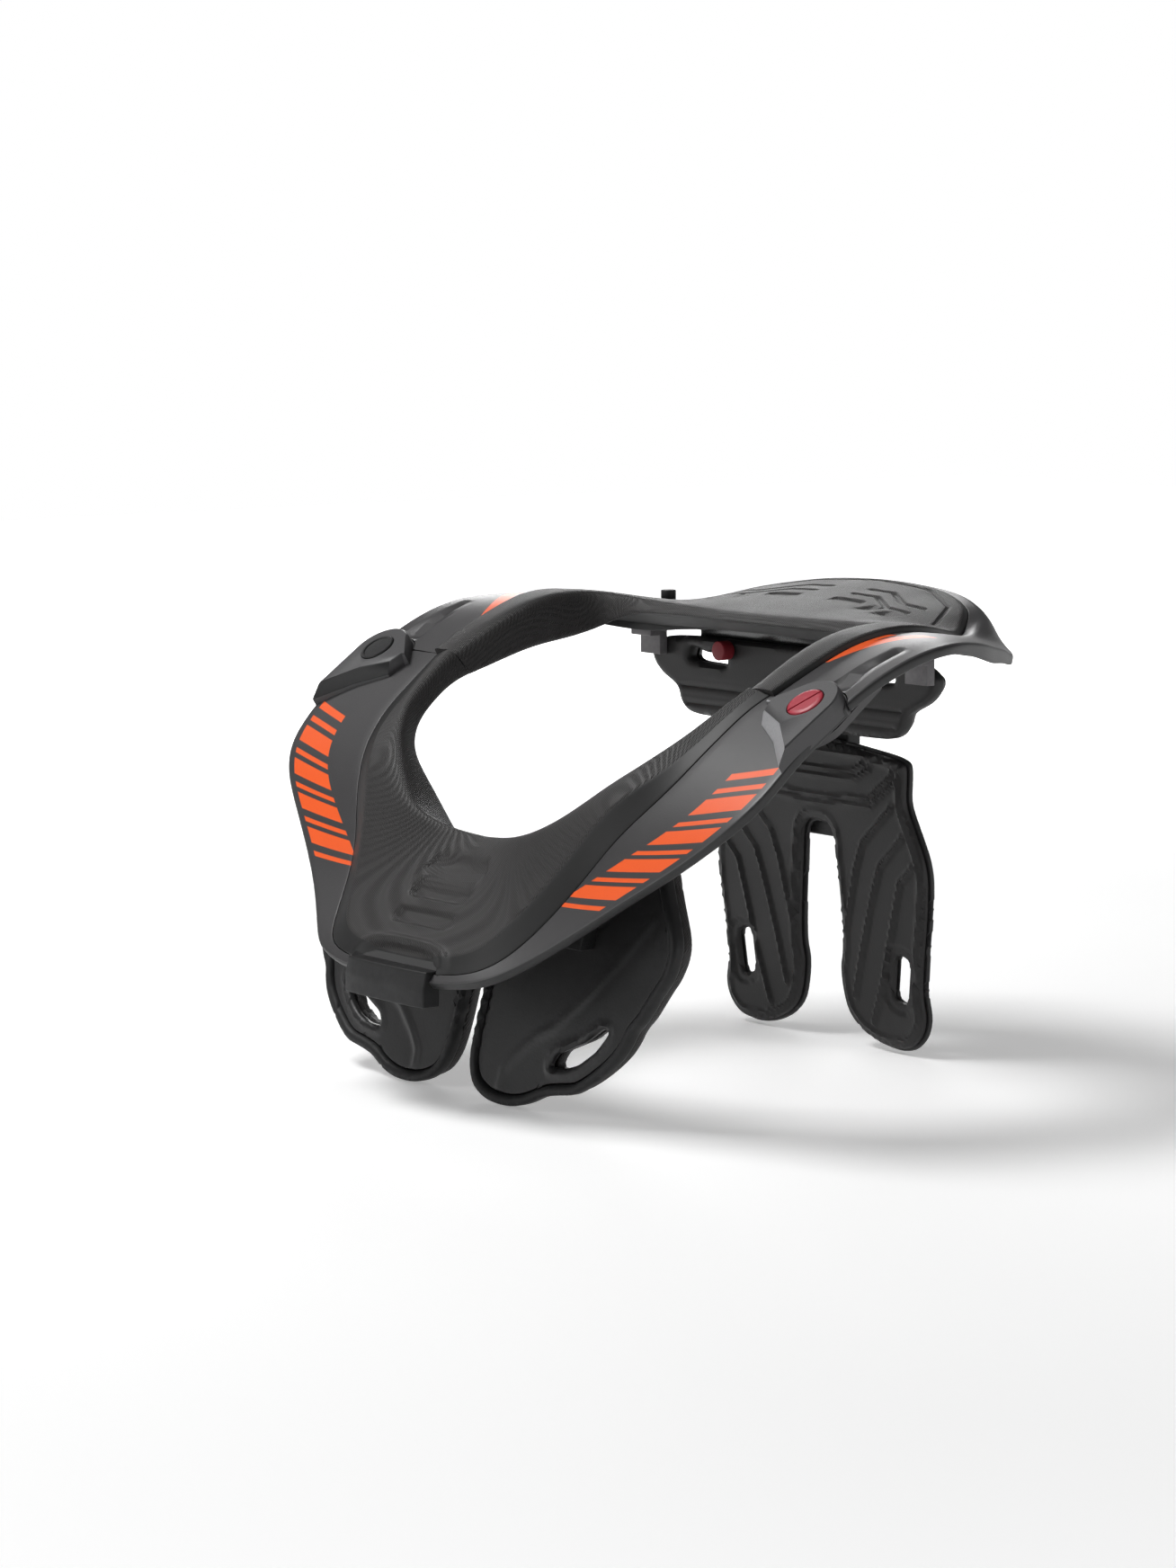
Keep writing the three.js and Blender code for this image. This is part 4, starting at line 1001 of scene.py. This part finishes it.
def relief_sheet(name, finish, outline, holes, put, front, back, pitch=1.5):
    """A sheet with two shaped faces. put(points, depth) places them, and front and back give the
    depth of each face from the points and their distance to the nearest edge."""
    rings = [outline, *holes]
    border = np.vstack(rings)
    low, high = border.min(axis=0), border.max(axis=0)
    spans = [np.arange(a + pitch / 2, b, pitch) for a, b in zip(low, high)]
    grid = np.stack(np.meshgrid(*spans), axis=-1).reshape(-1, 2)
    near = np.vstack([
        drawn_in(ring, d if k == 0 else -d) for k, ring in enumerate(rings) for d in edge_bands])
    near = near[away_from(near, rings) > band_clear]
    grid = grid[away_from(grid, rings) > grid_clear]
    points = np.vstack([near, grid])
    inside = within(points, outline)
    for hole in holes:
        inside &= ~within(points, hole)
    points = np.vstack([border, points[inside]])
    edges, start = [], 0
    for ring in rings:
        edges += [(start + i, start + (i + 1) % len(ring)) for i in range(len(ring))]
        start += len(ring)
    found = delaunay_2d_cdt([Vector(p) for p in points], edges, [], 0, 1e-5)
    points = np.array([tuple(p) for p in found[0]])
    triangles = np.array([face for face in found[2]])
    centres = points[triangles].mean(axis=1)
    keep = within(centres, outline)
    for hole in holes:
        keep &= ~within(centres, hole)
    triangles = triangles[keep]
    away = away_from(points, rings)
    away[:start] = 0
    count = len(points)
    faces = triangles.tolist() + (triangles[:, ::-1] + count).tolist()
    faces += [(j, i, i + count, j + count) for i, j in edges]
    places = np.vstack([put(points, front(points, away)), put(points, back(points, away))])
    mesh = bpy.data.meshes.new(name)
    mesh.from_pydata(metres(places).tolist(), [], faces)
    return finished(mesh, name, finish, 44)


def edge_round(away, radius):
    """How far a face falls back near its edge."""
    share = 1 - np.clip(away / radius, 0, 1)
    return radius * (1 - np.sqrt(np.maximum(1 - share**2, 0)))


def ridge(distance, width):
    """A rounded ridge one high, by the distance from its crest."""
    return np.maximum(1 - (distance / width) ** 2, 0) ** 2


def leaf_put(points, depth):
    """Places for a sheet of a chest leaf, which leans back as it rises."""
    return np.stack([points[:, 0], leaf_toe + leaf_lean * points[:, 1] + depth, points[:, 1]], axis=1)


def leaf_relief(fold, slot):
    """The front of a leaf's plate: a raised fold, and a raised ring round the slot."""
    def front(points, away):
        folded = fold_rise * ridge(polyline(points[:, 0], points[:, 1], fold), fold_width)
        ringed = slot_ring_rise * ridge(away_from(points, [slot]) - slot_ring_away, slot_ring_width)
        return -leaf_wall / 2 + edge_round(away, 0.6) - folded - ringed
    return front


def flat_face(depth, radius=0.5):
    """A flat face that falls back towards the front round its edge."""
    return lambda points, away: depth - edge_round(away, radius)


for name, sign in (("left", 1), ("right", -1)):
    outline = ring_of(leaf_outline, leaf_width, leaf_height, sign)
    slot = ring_of(leaf_slot, leaf_width, leaf_height, sign, radius=2)
    wide_slot = drawn_in(slot, -0.6)
    fold = [(sign * x * leaf_width, z * leaf_height) for x, z in leaf_fold]
    inner = drawn_in(outline, leaf_rim_width)
    shown = corner_turns * (len(leaf_outline) - leaf_hidden)
    band = np.vstack([outline[:shown], inner[:shown][::-1]])
    plate = relief_sheet(f"chest_plate_{name}_moulding", plate_finish,
                         drawn_in(outline, leaf_rim_width + gap), [slot],
                         leaf_put, leaf_relief(fold, slot), flat_face(leaf_wall / 2))
    half = leaf_rim_depth / 2
    rim = relief_sheet(f"chest_rim_{name}_lip", rubber_finish, band, [], leaf_put,
                       lambda points, away: -half + edge_round(away, 1.7), flat_face(half, 1.2), 1.2)
    pad = relief_sheet(f"chest_pad_{name}_foam", foam_finish, drawn_in(outline, 1.2), [wide_slot], leaf_put,
                       lambda points, away: half + gap + edge_round(away, 0.8),
                       flat_face(half + gap + leaf_pad_depth, 2.2), 2.2)
    for piece, node, slot_name in (
            (plate, "chest_plate", "plate"), (rim, "chest_rim", "edge_rubber"), (pad, "chest_pad", "foam")):
        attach(piece, "front_half")
        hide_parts(f"{node}_{name}")


# Back strut: a two-legged sheet of moulded black foam on a thin stiff plate, that lies down the
# spine. Nested ribs are pressed in it, and a strap slot is cut in the foot of each leg.
strut_height = 125.5
strut_half_width = 66
strut_pad_wall = 3.2
strut_plate_wall = 2.2
strut_face = 125.6
strut_lean = -0.05
strut_rib = 1.5
rib_width = 1.9
strut_outline = [
    (0, 0.72), (0.09, 0.717), (0.135, 0.69), (0.15, 0.6), (0.19, 0.38), (0.19, 0.3), (0.165, 0.26),
    (0.175, 0.19), (0.22, 0.105), (0.33, 0.05), (0.5, 0.012), (0.68, 0), (0.82, 0.015),
    (0.92, 0.065), (0.955, 0.13), (0.92, 0.2), (0.94, 0.31), (0.985, 0.47), (1, 0.58),
    (0.975, 0.65), (0.89, 0.74), (0.815, 0.82), (0.83, 0.89), (0.835, 0.95), (0.78, 0.965),
    (0.68, 0.975), (0.3, 0.995), (0, 1),
]
strut_slot = [(0.655, 0.175), (0.775, 0.16), (0.81, 0.31), (0.69, 0.325)]
yoke_ribs = [
    [(0, 113.5), (23.5, 114.2), (30, 117.4), (31.5, 120.6), (16, 120.4)],
    [(0, 110), (25, 110.8), (33.6, 115.4), (35.4, 120.6)],
    [(0, 101.7), (32.5, 103.6), (46.4, 113.6), (49.2, 118.4), (43, 120)],
    [(0, 98.6), (33.6, 100.2), (49.6, 111.6), (52.6, 117.6)],
]
leg_ribs = [
    [(46.2, 101), (28.5, 85), (23.6, 73), (16.8, 47.6)],
    [(52.4, 89.2), (38.7, 76.6), (33.2, 62), (25.8, 38), (21.4, 20.6)],
    [(58.3, 77.8), (50.4, 71), (44, 48.8), (40.8, 35.4), (32.2, 10.8)],
]
yoke_rise, yoke_width = 0.75, 1.3
edge_rib, edge_rise, edge_width = 3.4, 0.6, 1.3
shadow_side, shadow_low = 2.6, 0.8
shadow_depth, shadow_width = 0.4, 1.6
seat_depth, seat_inner, seat_outer = 0.9, 3.6, 4.6
strut_finish = Finish("moulded black foam", (0.0165, 0.0160, 0.0162), 0.46)
haze = strut_finish.noise(14)
strut_finish.colour(strut_finish.mix(haze, (0.0135, 0.013, 0.0132), (0.021, 0.0203, 0.0206)))
strut_finish.roughness(0.38 + haze * 0.16)
strut_finish.bump(strut_finish.noise(0.7), 0.06)


def whole_ring(shares, width, height, base=0.0, radius=7):
    """An outline round both sides from the table of its left side."""
    left = [(-x, z) for x, z in shares if x > 0][::-1]
    return ring_of([*shares, *left], width, height, base=base, radius=radius)


def upright(face, lean=0.0):
    """Places for a sheet that stands behind the wearer, with the lean of its face."""
    def put(points, depth):
        return np.stack([points[:, 0], face + lean * points[:, 1] + depth, points[:, 1]], axis=1)
    return put


def strut_relief(points, away):
    """Ribs across the yoke and down each leg, a rib along the edge and a flat seat round each slot."""
    side, height = np.abs(points[:, 0]), points[:, 1]
    raised = np.zeros(len(points))
    for line in yoke_ribs:
        raised = np.maximum(raised, yoke_rise * ridge(polyline(side, height, line), yoke_width))
    for line in leg_ribs:
        raised = np.maximum(raised, ridge(polyline(side, height, line), rib_width))
        shadow = [(x - shadow_side, z - shadow_low) for x, z in line]
        raised -= shadow_depth * ridge(polyline(side, height, shadow), shadow_width)
    raised = np.maximum(raised, edge_rise * ridge(away - edge_rib, edge_width))
    slot = away_from(np.stack([side, height], axis=1), [strut_slots[0]])
    seat = seat_depth * (1 - soft_step(slot, seat_inner, seat_outer))
    return 0.4 + seat - strut_rib * raised * (seat < 0.1) + edge_round(away, 1.2)


strut_outline_ring = whole_ring(strut_outline, strut_half_width, strut_height)
strut_slots = [ring_of(strut_slot, strut_half_width, strut_height, sign, radius=2.5) for sign in (1, -1)]
strut_pad = relief_sheet("strut_pad_foam", strut_finish, drawn_in(strut_outline_ring, 1.2), strut_slots,
                         upright(strut_face, strut_lean), strut_relief, flat_face(strut_pad_wall, 0.3), 1.15)
strut_plate = relief_sheet("strut_plate_moulding", plate_finish, strut_outline_ring, strut_slots,
                           upright(strut_face + strut_pad_wall + gap, strut_lean),
                           lambda points, away: edge_round(away, 0.7),
                           lambda points, away: (
                               strut_plate_wall - edge_round(away, 0.9) - 0.9 * ridge(away - 6, 1.8)), 2)
for piece, node, slot_name in ((strut_pad, "strut_pad", "foam"), (strut_plate, "strut_plate", "plate")):
    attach(piece, "rear_half")
    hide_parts(node)


# Saddle behind the shoulders: a foam pad with a ribbed lower edge on a glossy black plate, with a
# strap slot in each wing. A dark web joins the plate to the underside of the table.
saddle_half_width = 88
saddle_bottom = 130.5
saddle_height = 33
saddle_pad_wall = 7
saddle_plate_wall = 3
saddle_face = 105
saddle_rib_pitch = 3.4
groove_sunk, groove_half = 0.9, 0.9
ribs_full, ribs_end = 13, 17
web_half_width = 64
web_front, web_back = 112.6, 115.2
web_low, web_high = saddle_bottom + 30, 173.4
saddle_outline = [
    (0, 0), (0.5, 0), (0.68, 0.01), (0.745, 0.06), (0.785, 0.17), (0.8, 0.32), (0.85, 0.4),
    (0.92, 0.48), (0.975, 0.6), (1, 0.73), (0.985, 0.86), (0.9, 0.97), (0.7, 1), (0, 1),
]
saddle_slot = [
    (0.44, 0.66), (0.68, 0.68), (0.735, 0.72), (0.715, 0.87), (0.67, 0.86), (0.6, 0.81), (0.44, 0.81),
]
gloss_finish = Finish("gloss black plastic", (0.007, 0.007, 0.0072), 0.16, coat=0.3, gloss=0.5)
smear = gloss_finish.noise(9, 5)
gloss_finish.roughness(0.12 + smear * 0.14)
gloss_finish.bump(gloss_finish.noise(1.5), 0.03)
saddle_ring = whole_ring(saddle_outline, saddle_half_width, saddle_height, saddle_bottom, radius=5)
saddle_slots = [
    ring_of(saddle_slot, saddle_half_width, saddle_height, sign, saddle_bottom, 2) for sign in (1, -1)]


def saddle_relief(points, away):
    """Level grooves that leave ribs along the lower edge of the pad."""
    rows = np.abs((points[:, 1] - saddle_bottom) / saddle_rib_pitch % 1 - 0.5) * saddle_rib_pitch
    low = 1 - soft_step(points[:, 1], saddle_bottom + ribs_full, saddle_bottom + ribs_end)
    grooves = groove_sunk * ridge(rows, groove_half) * low * soft_step(away, 1.5, 3)
    return 0.3 + edge_round(away, 2.4) + grooves


saddle_pad = relief_sheet("saddle_pad_foam", strut_finish, saddle_ring, saddle_slots,
                          upright(saddle_face), saddle_relief, flat_face(saddle_pad_wall, 1.6), 1.4)
saddle_plate = relief_sheet("saddle_plate_moulding", gloss_finish, drawn_in(saddle_ring, 2), saddle_slots,
                            upright(saddle_face + saddle_pad_wall + gap),
                            lambda points, away: edge_round(away, 0.3),
                            lambda points, away: (saddle_plate_wall - edge_round(away, 1.2)
                                                  - 0.8 * (1 - soft_step(away, 3, 4.2))), 1.6)
web = block("saddle web", (-web_half_width, web_front, web_low), (web_half_width, web_back, web_high),
            gloss_finish)
bevel(web, 0.8)
only(saddle_plate)
web.select_set(True)
bpy.ops.object.join()
for piece, node, slot_name in ((saddle_pad, "saddle_pad", "foam"), (saddle_plate, "saddle_plate", "plate")):
    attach(piece, "rear_half")
    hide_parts(node)


# Small moulded pieces: the post that joins saddle and strut, the peg, the leaf brackets, the wing brackets,
# grey as a painted reflection, and the adjusters, darker red as painted shade. Each is the frame's own solid
# with its edges eased.
# The wing brackets' pale grey is painted reflection of the light their faces catch, with random speckle
# between two greys.
painted_reflection_grey_finish = Finish("plastic painted grey as a reflection", (0.12, 0.115, 0.12), 0.42)
scuff = painted_reflection_grey_finish.noise(2, 5)
painted_reflection_grey_finish.colour(painted_reflection_grey_finish.mix(scuff, (0.085, 0.082, 0.085), (0.15, 0.145, 0.15)))
painted_reflection_grey_finish.roughness(0.35 + scuff * 0.2)
# Adjusters: the red is darker than the button's, as painted shade for the shadow they sit in.
painted_shade_red_finish = Finish("red plastic darkened as painted shade", (0.16, 0.012, 0.018), 0.45)
scuff = painted_shade_red_finish.noise(1)
painted_shade_red_finish.roughness(0.38 + scuff * 0.2)


def eased(node, name, finish, width, body):
    """A copy of a frame solid, merged and cleaned, with its edges bevelled."""
    piece = frame["nodes"][node].copy()
    piece.data = piece.data.copy()
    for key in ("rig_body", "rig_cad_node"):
        if key in piece:
            del piece[key]
    piece.name = name
    piece.parent = None
    bpy.context.scene.collection.objects.link(piece)
    piece.data.materials.clear()
    piece.data.materials.append(finish.material)
    work = bmesh.new()
    work.from_mesh(piece.data)
    bmesh.ops.remove_doubles(work, verts=work.verts, dist=2e-5)
    bmesh.ops.dissolve_limit(work, angle_limit=math.radians(4), verts=work.verts, edges=work.edges)
    work.to_mesh(piece.data)
    work.free()
    bevel(piece, width)
    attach(piece, body)
    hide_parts(node)
    return piece


post = eased("spine_post", "spine_post_moulding", black_finish, 1.2, "rear_half")
post_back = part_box("spine_post")[1].y * 1000 + row_back
channel_half_width, channel_depth, channel_clear = 5, 1.6, 5
for low, high in ((90, 103), (107, 120)):
    channel = block("cutter", (-channel_half_width, post_back - channel_depth, low),
                    (channel_half_width, post_back + channel_clear, high), black_finish)
    bevel(channel, 1.5)
    cut(post, channel)
eased("table_peg", "table_peg_moulding", black_finish, 0.6, "rear_half")
for side in ("left", "right"):
    eased(f"leaf_bracket_{side}", f"leaf_bracket_{side}_moulding", black_finish, 0.9,
          "front_half")
    eased(f"wing_bracket_{side}", f"wing_bracket_{side}_moulding", painted_reflection_grey_finish, 0.5,
          "rear_half")
    eased(f"adjuster_{side}", f"adjuster_{side}_knob", painted_shade_red_finish, 0.5, "rear_half")
